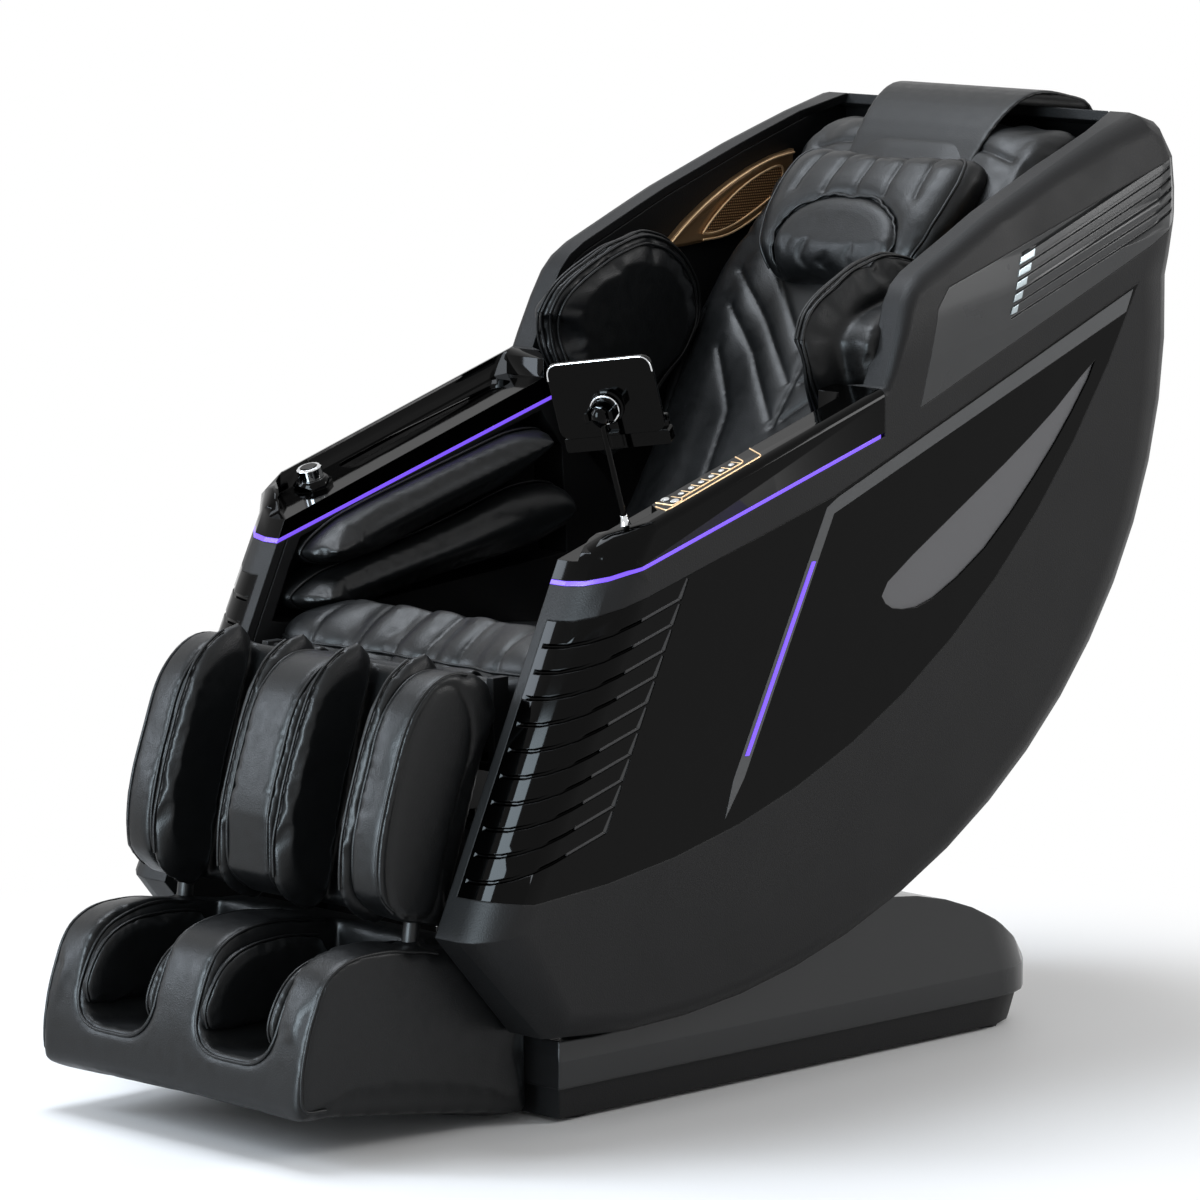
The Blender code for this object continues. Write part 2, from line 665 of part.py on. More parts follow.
def add_liners(chair):
    wing = [(CONSOLE_END_Y + GAP, 1.5), (CONSOLE_END_Y + GAP, 0.845), (0.400, 0.620), (1.2, 0.550), (1.2, 1.5)]
    for side, word in ((1, "left"), (-1, "right")):
        liner = cut(tub_solid(LINER_DEPTH, ARM_INNER_X),
                    prism(over_arm(-LIGHT_THICKNESS / 2 - GAP, CONSOLE_END_Y, GAP), 0.2, 0.5),
                    prism(wing, 0.15, WING_INNER_X),
                    prism([(0.2, 0.5), (0.2, 0.0), (1.2, 0.0), (1.2, 0.5), (0.45, 0.5)], 0.15, ARM_INNER_X),
                    prism(arm_recess(), 0.2, ARM_INNER_X + 0.060))
        solid("inner_liner_" + word, mirrored(lean_in(liner), side), MATTE_BLACK, chair)


def add_arm_airbags(chair):
    floor_x = ARM_INNER_X + 0.060 - GAP
    upper = smooth([(-0.292, 0.684), (-0.240, 0.720), (0.000, 0.788), (0.140, 0.822),
                    (0.165, 0.805), (0.100, 0.765), (-0.060, 0.715), (-0.220, 0.672)], 3)
    lower = smooth([(-0.318, 0.628), (-0.270, 0.652), (-0.060, 0.695), (0.120, 0.744),
                    (0.190, 0.735), (0.180, 0.680), (-0.020, 0.648), (-0.250, 0.612)], 3)
    for side, word in ((1, "left"), (-1, "right")):
        solid("arm_airbag_upper_" + word, mirrored(cushion(upper, floor_x, -0.115), side), LEATHER, chair)
        solid("arm_airbag_lower_" + word, mirrored(cushion(lower, floor_x, -0.125), side), LEATHER, chair)


def add_shoulder_airbags(chair):
    outline = smooth([(0.142, 0.985), (0.205, 1.050), (0.325, 1.092), (0.425, 1.050), (0.462, 0.960),
                      (0.382, 0.850), (0.280, 0.765), (0.187, 0.860)], 2)
    face = ARM_INNER_X - GAP
    for side, word in ((1, "left"), (-1, "right")):
        pad = cushion(outline, face, -0.036, edge=0.008, root=WING_INNER_X - GAP - face)
        solid("shoulder_airbag_" + word, mirrored(lean_in(pad), side), LEATHER, chair)


def speaker_outline():
    """Leaf with a point at the front and a cut rear end."""
    low = bezier((0.445, 1.050), (0.560, 1.040), (0.700, 1.110), 6)
    high = bezier((0.690, 1.178), (0.560, 1.160), (0.445, 1.050), 6)
    return low + high[:-1]


def add_speakers(chair):
    outline = speaker_outline()
    for side, word in ((1, "left"), (-1, "right")):
        rings = []
        for pull, rise in ((0.0, GAP), (0.0, 0.010), (0.005, 0.014), (0.011, 0.014), (0.015, 0.010)):
            rings.append([(WING_INNER_X - rise, y, z) for y, z in drawn_in(outline, pull)])
        solid("speaker_" + word, mirrored(lean_in(loft(rings)), side), BRONZE, chair)


# ------------------------------------------------------------------ arm consoles and their controls
def console_normal():
    """Direction square to the console's top."""
    return Vector((0, -CONSOLE_RISE, 1)).normalized()


def on_console(x, y, height=0.0):
    """Point on the console's top, or above it."""
    return Vector((x, y, console_top(y))) + console_normal() * height


def on_step(x, y, height=0.0):
    """Point on the console's lower level, or above it."""
    return Vector((x, y, console_top(y) - TRAY_DEPTH)) + console_normal() * height


def button_places():
    """Place and radius of each button: a pair abreast, then a row."""
    first = (-0.176, 0.0125)
    places = [(BUTTON_X - 0.009, first[0], ROUND_BUTTON_RADIUS), (BUTTON_X + 0.009, first[0], ROUND_BUTTON_RADIUS)]
    for i in range(KEY_COUNT):
        places.append((BUTTON_X, first[0] + KEY_START + KEY_PITCH * i, KEY_RADIUS))
    return places


def add_lights(chair):
    for side, word in ((1, "left"), (-1, "right")):
        half = LIGHT_THICKNESS / 2
        band = [(-0.70, light_line(-0.70) - half), (LIGHT_END_Y, light_line(LIGHT_END_Y) - half),
                (LIGHT_END_Y, light_line(LIGHT_END_Y) + half), (-0.70, light_line(-0.70) + half)]
        light = meet(tub_solid(0.0, ARM_INNER_X), prism(band, 0.2, 0.5))
        solid("arm_light_" + word, mirrored(light, side), LIGHT_VIOLET, chair)


def console_blank():
    """Arm cap above the light strip."""
    region = over_arm(LIGHT_THICKNESS / 2 + GAP, CONSOLE_END_Y)
    return meet(tub_solid(0.0, ARM_INNER_X), prism(region, 0.2, 0.5))


def console_step(front_x, outer_x):
    """The part of the console's top that steps down on the sitter's side: its reach at the front and behind."""
    inner = ARM_INNER_X - 0.02
    plan = [(inner, -0.40), (ARM_INNER_X + 0.030, -0.40), (ARM_INNER_X + 0.036, -0.290), (front_x - 0.012, -0.262),
            (front_x, -0.245), (front_x, -0.204), (outer_x, -0.192), (outer_x, TRAY_END_Y - 0.012),
            (outer_x - 0.012, TRAY_END_Y), (inner, TRAY_END_Y)]
    return slab(plan, lambda y: console_top(y) - TRAY_DEPTH, lambda y: console_top(y) + 0.05)


def add_consoles(chair):
    left = cut(console_blank(), console_step(PHONE_FOOT[0] + 0.024, BUTTON_X - 0.018))
    for x, y, radius in button_places():
        left = cut(left, rod(on_console(x, y, 0.02), on_console(x, y, -BUTTON_LENGTH - BUTTON_TRAVEL),
                             radius + BUTTON_CLEARANCE, 12))
    socket = rod(on_step(*PHONE_FOOT, 0.02), on_step(*PHONE_FOOT, -0.012), 0.0065 + BUTTON_CLEARANCE)
    solid("arm_console_left", cut(left, socket), GLOSS_BLACK, chair)

    right = cut(console_blank(), console_step(HALF_WIDTH - 0.0145, HALF_WIDTH - 0.014))
    channel = rounded_rectangle(HALF_WIDTH - 0.062, HALF_WIDTH - 0.022, -0.150, 0.150, 0.012)
    right = cut(right, slab(channel, lambda y: console_top(y) - TRAY_DEPTH - CHANNEL_DEPTH,
                            lambda y: console_top(y) + 0.05))
    foot = on_step(KNOB_X, KNOB_Y, -0.004)
    block = turned(foot, console_normal(), [(0.0, PEDESTAL_RADIUS), (0.004 + PEDESTAL_HEIGHT * 0.6, PEDESTAL_RADIUS),
                                            (0.004 + PEDESTAL_HEIGHT, PEDESTAL_RADIUS - 0.005)], 8)
    right = fuse(right, block)
    hole = rod(on_step(KNOB_X, KNOB_Y, 0.03), on_step(KNOB_X, KNOB_Y, PEDESTAL_HEIGHT - 0.015),
               0.006 + BUTTON_CLEARANCE)
    solid("arm_console_right", mirrored(cut(right, hole), -1), GLOSS_BLACK, chair)


def add_buttons(chair):
    normal = console_normal()
    for number, (x, y, radius) in enumerate(button_places(), 1):
        body = empty(f"joint_button_{number}", chair, on_console(x, y))
        profile = [(-BUTTON_LENGTH + BUTTON_TRAVEL * 0.5, radius), (BUTTON_PROUD - 0.0008, radius),
                   (BUTTON_PROUD, radius - 0.0010)]
        solid(f"button_{number}", turned(on_console(x, y), normal, profile, 12), CHROME, body)


def add_knob(chair):
    normal = console_normal()
    flip = Matrix.Diagonal((-1, 1, 1))
    foot = flip @ on_step(KNOB_X, KNOB_Y, PEDESTAL_HEIGHT + GAP)
    body = empty("joint_control_knob", chair, foot)
    rings = []
    teeth = 16
    for along, radius in ((0.0, KNOB_RADIUS), (KNOB_HEIGHT - 0.002, KNOB_RADIUS), (KNOB_HEIGHT, KNOB_RADIUS - 0.002)):
        rings.append((along, radius))
    turn = normal.to_track_quat("Z", "Y").to_matrix()
    ribbed = []
    for along, radius in rings:
        ribbed.append([foot + normal * along + turn @ Vector(((radius - 0.0006 * (i % 2)) * math.cos(a),
                                                              (radius - 0.0006 * (i % 2)) * math.sin(a), 0))
                       for i, a in enumerate(2 * math.pi * k / (teeth * 2) for k in range(teeth * 2))])
    ring = fuse(loft(ribbed), rod(foot + normal * 0.004, foot - normal * 0.009, 0.006))
    ring = cut(ring, rod(foot + normal * (KNOB_HEIGHT + 0.01), foot + normal * (KNOB_HEIGHT - 0.006), 0.0125))
    solid("control_knob", ring, CHROME, body)
    press = empty("joint_knob_button", body, foot + normal * KNOB_HEIGHT)
    profile = [(-0.0045, 0.0121), (0.0002, 0.0121), (0.0010, 0.0108)]
    solid("knob_button", turned(foot + normal * KNOB_HEIGHT, normal, profile, 24), GLOSS_BLACK, press)


def add_phone_holder(chair):
    normal = console_normal()
    foot = on_step(*PHONE_FOOT, GAP)
    stem = empty("joint_phone_swivel", chair, foot)
    ball = foot + normal * PHONE_STEM
    profile = [(-0.0110, 0.0065), (0.0, 0.0065), (0.0002, 0.0150), (0.004, 0.0145), (0.012, 0.0080),
               (0.026, 0.0042), (PHONE_STEM - 0.016, 0.0038), (PHONE_STEM - 0.0110, 0.0080),
               (PHONE_STEM - 0.0060, 0.0112), (PHONE_STEM, 0.0127), (PHONE_STEM + 0.006, 0.0112),
               (PHONE_STEM + 0.0110, 0.0060)]
    solid("phone_stem", turned(foot, normal, profile, 12), CHROME, stem)

    cradle = empty("joint_phone_tilt", stem, ball)
    across = Matrix.Rotation(math.radians(PHONE_SWIVEL), 3, normal) @ Vector((1, 0, 0))
    away = across.cross(normal)
    width, height, thick = PHONE_PLATE
    frame = Matrix((across, away, normal)).transposed()

    def local(outline, y0, y1):
        rings = [[ball + frame @ Vector((x, y, z)) for x, z in outline] for y in (y0, y1)]
        return loft(rings)

    plate = local(rounded_rectangle(-width / 2, width / 2, -0.040, height - 0.040, 0.012), -0.030 - thick, -0.030)
    slot = local(rounded_rectangle(-0.0085, 0.0085, -0.036, -0.014, 0.003), -0.06, 0.0)
    yoke = [turned(ball + across * s * 0.0133, across * s, [(0.0, 0.0060), (0.0060, 0.0060)], 12) for s in (1, -1)]
    arms = [local(rounded_rectangle(s * 0.0165 - 0.0028, s * 0.0165 + 0.0028, -0.007, 0.007, 0.002), -0.031, 0.006)
            for s in (1, -1)]
    cup = fuse(cut(plate, slot), *arms)
    solid("phone_cradle", fuse(cup, *yoke), GLOSS_BLACK, cradle)

    clamp = empty("joint_phone_clamp", cradle, ball - normal * 0.040)
    back = local(rounded_rectangle(-0.0080, 0.0080, -0.060, -0.0165, 0.002), -0.0425, -0.0300 - thick - GAP)
    shelf = local(rounded_rectangle(-width / 2, width / 2, -0.062, -0.042, 0.003), -0.056, -0.0320 - thick - GAP)
    hooks = [local(rounded_rectangle(s * 0.061 - 0.008, s * 0.061 + 0.008, -0.060, -0.026, 0.002), -0.058, -0.052)
             for s in (1, -1)]
    solid("phone_clamp", fuse(shelf, back, *hooks), GLOSS_BLACK, clamp)


# ------------------------------------------------------------------ upholstery
def back_point(along, behind=0.0):
    """Side view point along the back's front line, and behind it."""
    a = math.radians(BACK_SLOPE)
    d = (math.sin(a), math.cos(a))
    return (BACK_START[0] + d[0] * along + d[1] * behind, BACK_START[1] + d[1] * along - d[0] * behind)


def back_up():
    """Direction out of the back's front face."""
    a = math.radians(BACK_SLOPE)
    return (-math.cos(a), math.sin(a))


CHANNELS = [(-1.0, 0.010), (-0.88, 0.0), (-0.74, 0.006), (-0.60, 0.0), (-0.46, 0.006), (-0.24, 0.0), (0.0, 0.0)]


def mirrored_columns(columns):
    return columns + [(-share, dip) for share, dip in reversed(columns[:-1])]


def add_seat(chair):
    """Seat cushion with its front roll and sewn channels."""
    heights = [(-0.352, 0.520, (-1.0, 0.0)), (-0.350, 0.585, (-0.85, 0.5)), (-0.325, 0.612, (-0.4, 0.9)),
               (-0.280, 0.614, (0.0, 1.0)), (-0.210, 0.590, (0.0, 1.0)), (-0.120, 0.562, (0.0, 1.0)),
               (-0.020, 0.548, (0.0, 1.0)), (0.080, 0.540, (0.0, 1.0)), (SEAT_REAR_Y, 0.535, (0.0, 1.0))]
    columns = mirrored_columns([(-1.0, 0.012), (-0.90, 0.0), (-0.62, 0.0), (-0.46, 0.006), (-0.30, 0.0),
                                (-0.16, 0.006), (0.0, 0.0)])
    rings = []
    floor_z = SEAT_BOTTOM_Z + GAP
    for index, (y, z, up) in enumerate(heights):
        ring = []
        for share, dip in columns:
            rise = 0.010 * (1 - share ** 4) - dip
            ring.append((share * SEAT_HALF_WIDTH, max(y + up[0] * rise, SEAT_FRONT_Y - 0.004), z + up[1] * rise))
        low_y = max(y, SEAT_FRONT_Y + 0.004)
        low_y += 0.0015 * index if index < 3 else 0.0
        ring += [(SEAT_HALF_WIDTH, low_y, lerp(floor_z, z, 0.5)), (SEAT_HALF_WIDTH - 0.004, low_y, floor_z),
                 (-SEAT_HALF_WIDTH + 0.004, low_y, floor_z), (-SEAT_HALF_WIDTH, low_y, lerp(floor_z, z, 0.5))]
        rings.append(ring)
    solid("seat_cushion", loft(rings), LEATHER, chair)


def add_back(chair):
    """Back cushion: a long crowned pad whose top rolls over to the rear cover."""
    stations = []
    up = back_up()
    for along in (0.0, 0.015, 0.10, 0.20, 0.30, 0.40, 0.50, 0.60, 0.68, 0.74):
        y, z = back_point(along)
        half = lerp(BACK_LOW_HALF, BACK_HIGH_HALF, min(max((z - 0.76) / 0.10, 0.0), 1.0))
        half -= max(z - 1.02, 0.0) * 0.22
        stations.append((y, z, up, half, BACK_THICKNESS))
    top = [(0.668, 1.198, 50.0), (0.704, 1.228, 64.0), (0.735, 1.238, 84.0), (0.752, 1.236, 96.0)]
    for y, z, tilt in top:
        a = math.radians(tilt)
        stations.append((y, z, (-math.cos(a), math.sin(a)), 0.248 - 0.25 * (z - 1.19), BACK_THICKNESS * 0.72))
    solid("back_cushion", strip_pad(stations, mirrored_columns(CHANNELS), 0.012), LEATHER, chair)


def add_pillow(chair):
    """Head pillow with vertical channels over an arched neck pad."""
    up = back_up()
    columns = mirrored_columns([(-1.0, 0.014), (-0.93, 0.004), (-0.70, 0.0), (-0.50, 0.007), (-0.33, 0.0),
                                (-0.17, 0.007), (0.0, 0.0)])
    stations = []
    for along, half, front in ((0.560, 0.100, 0.058), (0.568, 0.128, 0.070), (0.600, 0.158, 0.078),
                               (0.650, 0.172, 0.078), (0.700, 0.178, 0.074), (0.745, 0.178, 0.068),
                               (0.775, 0.172, 0.056), (0.785, 0.160, 0.044)):
        y, z = back_point(along, -front)
        stations.append((y, z, up, half, front - 0.0125))
    solid("head_pillow", strip_pad(stations, columns, 0.010), LEATHER, chair)


def add_flap(chair):
    """Leather flap that hangs over the top of the back."""
    path = smooth([(0.628, 1.178), (0.668, 1.228), (0.710, 1.262), (0.752, 1.274), (0.800, 1.266),
                   (0.830, 1.254), (0.8420, 1.215)], 3, closed=False)
    rings = []
    for i, (y, z) in enumerate(path):
        ahead = Vector(path[min(i + 1, len(path) - 1)]) - Vector(path[max(i - 1, 0)])
        up = Vector((-ahead.y, ahead.x)).normalized()
        half = lerp(0.118, 0.165, i / (len(path) - 1))
        rings.append([(x, y + up.x * n, z + up.y * n) for x, n in ((-half, 0.0), (half, 0.0), (half, 0.006),
                                                                  (-half, 0.006))])
    solid("head_flap", loft(rings), LEATHER, chair)


# ------------------------------------------------------------------ rear cover, track and mechanism
def add_rear_cover(chair):
    """Curved sheet between the rear edges of the two side shells."""
    rows = tub_rows()
    arc = [row for row in rows[:TUB_STEPS + 1] if row[1] > 0.42]
    strip = rows[-4:] + arc
    outer = [(y, z) for y, z, _, _ in strip]
    closed = inset([(y, z) for y, z, _, _ in rows], SHELL_WALL)
    inner = closed[-4:] + closed[:len(arc)]
    rings = []
    for (oy, oz), (iy, iz), (_, _, _, rim) in zip(outer, inner, strip):
        half = rim - (0.0035 if oz > 1.10 else 0.0012)
        rings.append([(-half, oy, oz), (half, oy, oz), (half, iy, iz), (-half, iy, iz)])
    cover = loft(rings)
    for i in range(5):
        z = 0.56 + 0.022 * i
        cover = cut(cover, prism([(0.4, z), (0.9, z), (0.9, z + 0.008), (0.4, z + 0.008)], -0.12, 0.12))
    cover = cut(cover, inlet_block(0.032 + GAP, 0.018 + GAP, -0.010, SHELL_WALL + 0.010))
    solid("rear_cover", lean_in(cover), MATTE_BLACK, chair)


def box(x0, x1, y0, y1, z0, z1):
    return prism([(y0, z0), (y1, z0), (y1, z1), (y0, z1)], x0, x1)


def add_seat_frame(chair):
    """Side plates whose lower edges are the rails, cross tubes, seat pan and leg pivot tube."""
    start, end = RAIL_ANGLES
    arc = fan(TILT_CENTRE, RAIL_RADIUS, start, end, 18)
    pan_z = SEAT_BOTTOM_Z
    plate = arc + [polar(TILT_CENTRE, RAIL_RADIUS - 0.060, end), (0.150, pan_z - 0.006), (-0.330, pan_z - 0.006)]
    frame = prism([(0.140, pan_z), (-0.335, pan_z), (-0.335, pan_z - 0.012), (0.140, pan_z - 0.012)],
                  -RAIL_X - RAIL_WIDTH, RAIL_X + RAIL_WIDTH)
    for s in (1, -1):
        x0, x1 = sorted((s * RAIL_X, s * (RAIL_X + RAIL_WIDTH)))
        frame = fuse(frame, prism(plate, x0, x1))
    for angle in (start + 3.0, end - 2.0):
        y, z = polar(TILT_CENTRE, RAIL_RADIUS - 0.055, angle)
        reach = ARM_INNER_X - GAP
        frame = fuse(frame, rod((-reach, y, z), (reach, y, z), TUBE_RADIUS))
    py, pz = LEG_PIVOT
    arm = [(-0.320, pan_z - 0.003), (-0.320, pan_z - 0.011), (-0.385, pan_z - 0.011), (py - 0.015, pz - 0.030),
           (py - 0.015, pz + 0.012), (py + 0.012, pz + 0.012), (py + 0.012, pz - 0.030),
           (SEAT_FRONT_Y - 0.008, pan_z - 0.003)]
    side = RAIL_X - 0.007
    for s in (1, -1):
        x0, x1 = sorted((s * side, s * (side - 0.012)))
        frame = fuse(frame, prism(arm, x0, x1))
    frame = fuse(frame, rod((0.002 - side, py, pz), (side - 0.002, py, pz), LEG_PIVOT_RADIUS))
    solid("seat_frame", frame, STEEL, chair)


def back_block(x0, x1, a0, a1, b0, b1):
    """Block in the back's own frame: along it from a0 to a1, behind it from b0 to b1."""
    return prism([back_point(a0, b0), back_point(a1, b0), back_point(a1, b1), back_point(a0, b1)], x0, x1)


def add_track(chair):
    """Two channels that guide the carriage, joined above and below its travel."""
    low, high = 0.040, 0.740
    front = BACK_THICKNESS + GAP
    lip = 0.006
    track = back_block(-TRACK_HALF - 0.002, TRACK_HALF + 0.002, low, low + 0.025, 0.160, 0.190)
    track = fuse(track, back_block(-TRACK_HALF - 0.002, TRACK_HALF + 0.002, high - 0.020, high, 0.160, 0.190))
    for s in (1, -1):
        x0, x1 = sorted((s * TRACK_HALF, s * (TRACK_HALF + TRACK_WEB)))
        track = fuse(track, back_block(x0, x1, low - 0.004, high + 0.004, front, TRACK_REACH))
        l0, l1 = sorted((s * (TRACK_HALF - 0.020), s * (TRACK_HALF + 0.003)))
        for b in (0.150, TRACK_REACH - lip - 0.001):
            track = fuse(track, back_block(l0, l1, low - 0.002, high + 0.002, b, b + lip))
        y, z = polar(TILT_CENTRE, RAIL_RADIUS - 0.055, RAIL_ANGLES[1] - 2.0)
        foot = [(y - 0.016, z + TUBE_RADIUS + GAP), (y + 0.016, z + TUBE_RADIUS + GAP), back_point(0.10, 0.197),
                back_point(0.045, 0.150)]
        track = fuse(track, prism(foot, x0 + 0.001, x1 - 0.001))
    solid("massage_track", track, STEEL, chair)


def add_carriage(chair):
    """Carriage between the channels, with cheeks for the kneading shaft."""
    y, z = back_point(CARRIAGE_START, 0.175)
    body = empty("joint_massage_carriage", chair, (0, y, z))
    a0 = CARRIAGE_START - CARRIAGE_HALF_LENGTH
    a1 = CARRIAGE_START + CARRIAGE_HALF_LENGTH
    frame = back_block(-0.125, 0.125, a0, a1, 0.163, 0.188)
    for s in (1, -1):
        x0, x1 = sorted((s * 0.118, s * (TRACK_HALF - 0.0005)))
        for a in (a0 + 0.002, a1 - 0.027):
            frame = fuse(frame, back_block(x0, x1, a, a + 0.025, 0.1565, 0.1925))
        x0, x1 = sorted((s * 0.104, s * 0.114))
        frame = fuse(frame, back_block(x0, x1, CARRIAGE_START - 0.020, CARRIAGE_START + 0.020, 0.118, 0.166))
    sy, sz = back_point(CARRIAGE_START, KNEAD_OFFSET)
    frame = cut(frame, rod((-0.13, sy, sz), (0.13, sy, sz), 0.0085))
    frame = cut(frame, back_block(-0.100, 0.100, CARRIAGE_START - 0.052, CARRIAGE_START + 0.052, 0.150, 0.20))
    solid("massage_carriage", frame, STEEL, body)

    spin = empty("joint_kneading", body, (0, sy, sz))
    shaft = rod((-0.116, sy, sz), (0.116, sy, sz), 0.0080)
    for s in (1, -1):
        for x in (0.045, 0.085):
            centre = Vector((s * x, sy + (0.011 if x > 0.05 else -0.011), sz))
            wheel = turned(centre - Vector((0.011, 0, 0)), (1, 0, 0),
                           [(0.0, KNEAD_RADIUS - 0.008), (0.011, KNEAD_RADIUS), (0.022, KNEAD_RADIUS - 0.008)], 14)
            shaft = fuse(shaft, wheel)
    solid("kneading_rollers", shaft, MATTE_BLACK, spin)


def inlet_block(half_x, half_t, depth0, depth1, x=0.0):
    """Block square to the facet of the rear cover that carries the mains inlet."""
    a, b = (Vector(row[:2]) for row in tub_rows()[INLET_FACET:INLET_FACET + 2])
    along = (a - b).normalized()
    inward = Vector((-along.y, along.x))
    middle = (a + b) / 2
    outline = [tuple(middle + along * t + inward * n) for t, n in
               ((-half_t, depth0), (half_t, depth0), (half_t, depth1), (-half_t, depth1))]
    return prism(outline, x - half_x, x + half_x)


def add_power_box(chair):
    """Mains inlet housing on the inside of the rear cover, its socket in an opening of the cover."""
    housing = fuse(inlet_block(0.070, 0.036, SHELL_WALL + GAP, 0.070),
                   inlet_block(0.032, 0.018, 0.001, 0.030))
    housing = cut(housing, inlet_block(0.014, 0.011, -0.010, 0.017, x=-0.012))
    switch = inlet_block(0.0055, 0.0095, -0.001, 0.006, x=0.019)
    solid("power_box", fuse(housing, switch), MATTE_BLACK, chair)


# ------------------------------------------------------------------ base
def base_plan(shrink=0.0):
    """Plan of the base: square front, round rear corners."""
    half = BASE_HALF_WIDTH - shrink
    front = BASE_FRONT_Y + shrink
    rear = BASE_REAR_Y - shrink
    points = [(-half, front), (half, front)]
    points += fan((half - BASE_CORNER, rear - BASE_CORNER), BASE_CORNER, 90, 180, 6)
    points += fan((-half + BASE_CORNER, rear - BASE_CORNER), BASE_CORNER, 180, 270, 6)
    return points


def add_base(base):
    plinth = loft([[(x, y, z) for x, y in base_plan(shrink)]
                   for shrink, z in ((0.014, FOOT_HEIGHT), (0.006, PLINTH_TOP_Z))])
    for x in (0.050 - BASE_HALF_WIDTH, BASE_HALF_WIDTH - 0.050):
        for y in (BASE_FRONT_Y + 0.060, BASE_REAR_Y - 0.110):
            plinth = fuse(plinth, rod((x, y, 0.0), (x, y, FOOT_HEIGHT + 0.004), FOOT_RADIUS))
    solid("base_plinth", plinth, MATTE_BLACK, base)

    low = PLINTH_TOP_Z + GAP
    under = []
    y = BASE_FRONT_Y + 0.002
    while y < 0.245:
        share = (y - TUB_CENTRE[0]) / TUB_DEPTH
        z = TUB_CENTRE[1] - TUB_DROP * math.sqrt(1 - share ** 2) - COVER_CLEARANCE
        under.append((y, min(z, COVER_CREST_Z)))
        y += 0.065
    rear = bezier((0.300, COVER_CREST_Z), (0.480, COVER_CREST_Z - 0.010), (BASE_REAR_Y - 0.035, 0.092), 6)
    profile = [(BASE_FRONT_Y, low)] + under + rear + [(BASE_REAR_Y - 0.008, 0.070), (BASE_REAR_Y, low)]
    cover = meet(prism(profile, -BASE_HALF_WIDTH - 0.01, BASE_HALF_WIDTH + 0.01),
                 loft([[(x, yy, zz) for x, yy in base_plan(shrink)]
                       for shrink, zz in ((0.0, 0.02), (0.0, 0.085), (0.030, 0.24))]))
    well = [(-WELL_HALF_WIDTH, WELL_FRONT_Y), (WELL_HALF_WIDTH, WELL_FRONT_Y),
            (WELL_HALF_WIDTH, WELL_REAR_Y), (-WELL_HALF_WIDTH, WELL_REAR_Y)]
    cover = cut(cover, slab(well, 0.0, 0.5))
    dish = bmesh.new()
    bmesh.ops.create_uvsphere(dish, u_segments=28, v_segments=14, radius=1.0)
    bmesh.ops.scale(dish, verts=dish.verts, vec=(0.230, 0.150, 0.060))
    bmesh.ops.rotate(dish, verts=dish.verts, cent=(0, 0, 0), matrix=Matrix.Rotation(math.radians(-17), 3, "X"))
    bmesh.ops.translate(dish, verts=dish.verts, vec=(0, 0.465, 0.222))
    solid("base_cover", cut(cover, dish), BASE_GREY, base)


def add_cradle(base):
    """Uprights with shoes that hold the curved rails between their cheeks."""
    low = PLINTH_TOP_Z + GAP
    x0 = RAIL_X - SHOE_CHEEK - GAP
    x1 = RAIL_X + RAIL_WIDTH + SHOE_CHEEK + GAP
    cradle = None
    feet = [polar(TILT_CENTRE, RAIL_RADIUS + 0.012, angle) for angle in SHOE_ANGLES]
    for y, _ in feet:
        bar = box(-x1, x1, y - 0.025, y + 0.025, low, low + 0.030)
        cradle = bar if cradle is None else fuse(cradle, bar)
    for s in (1, -1):
        a, b = sorted((s * (x0 + 0.001), s * (x1 - 0.001)))
        cradle = fuse(cradle, box(a, b, feet[0][0], feet[1][0], low + 0.001, low + 0.026))
        for angle, (y, z) in zip(SHOE_ANGLES, feet):
            cradle = fuse(cradle, box(a, b, y - 0.020, y + 0.020, low + 0.002, z - 0.004))
            shoe = fan(TILT_CENTRE, RAIL_RADIUS - 0.030, angle - SHOE_SPAN, angle + SHOE_SPAN, 4)
            shoe += reversed(fan(TILT_CENTRE, RAIL_RADIUS + 0.024, angle - SHOE_SPAN, angle + SHOE_SPAN, 4))
            c, d = sorted((s * x0, s * x1))
            block = prism(shoe, c, d)
            groove = fan(TILT_CENTRE, RAIL_RADIUS - 0.060, angle - 6, angle + 6, 4)
            groove += reversed(fan(TILT_CENTRE, RAIL_RADIUS + 0.0010, angle - 6, angle + 6, 4))
            e, f = sorted((s * (RAIL_X - GAP), s * (RAIL_X + RAIL_WIDTH + GAP)))
            cradle = fuse(cradle, cut(block, prism(groove, e, f)))
    solid("base_cradle", cradle, STEEL, base)


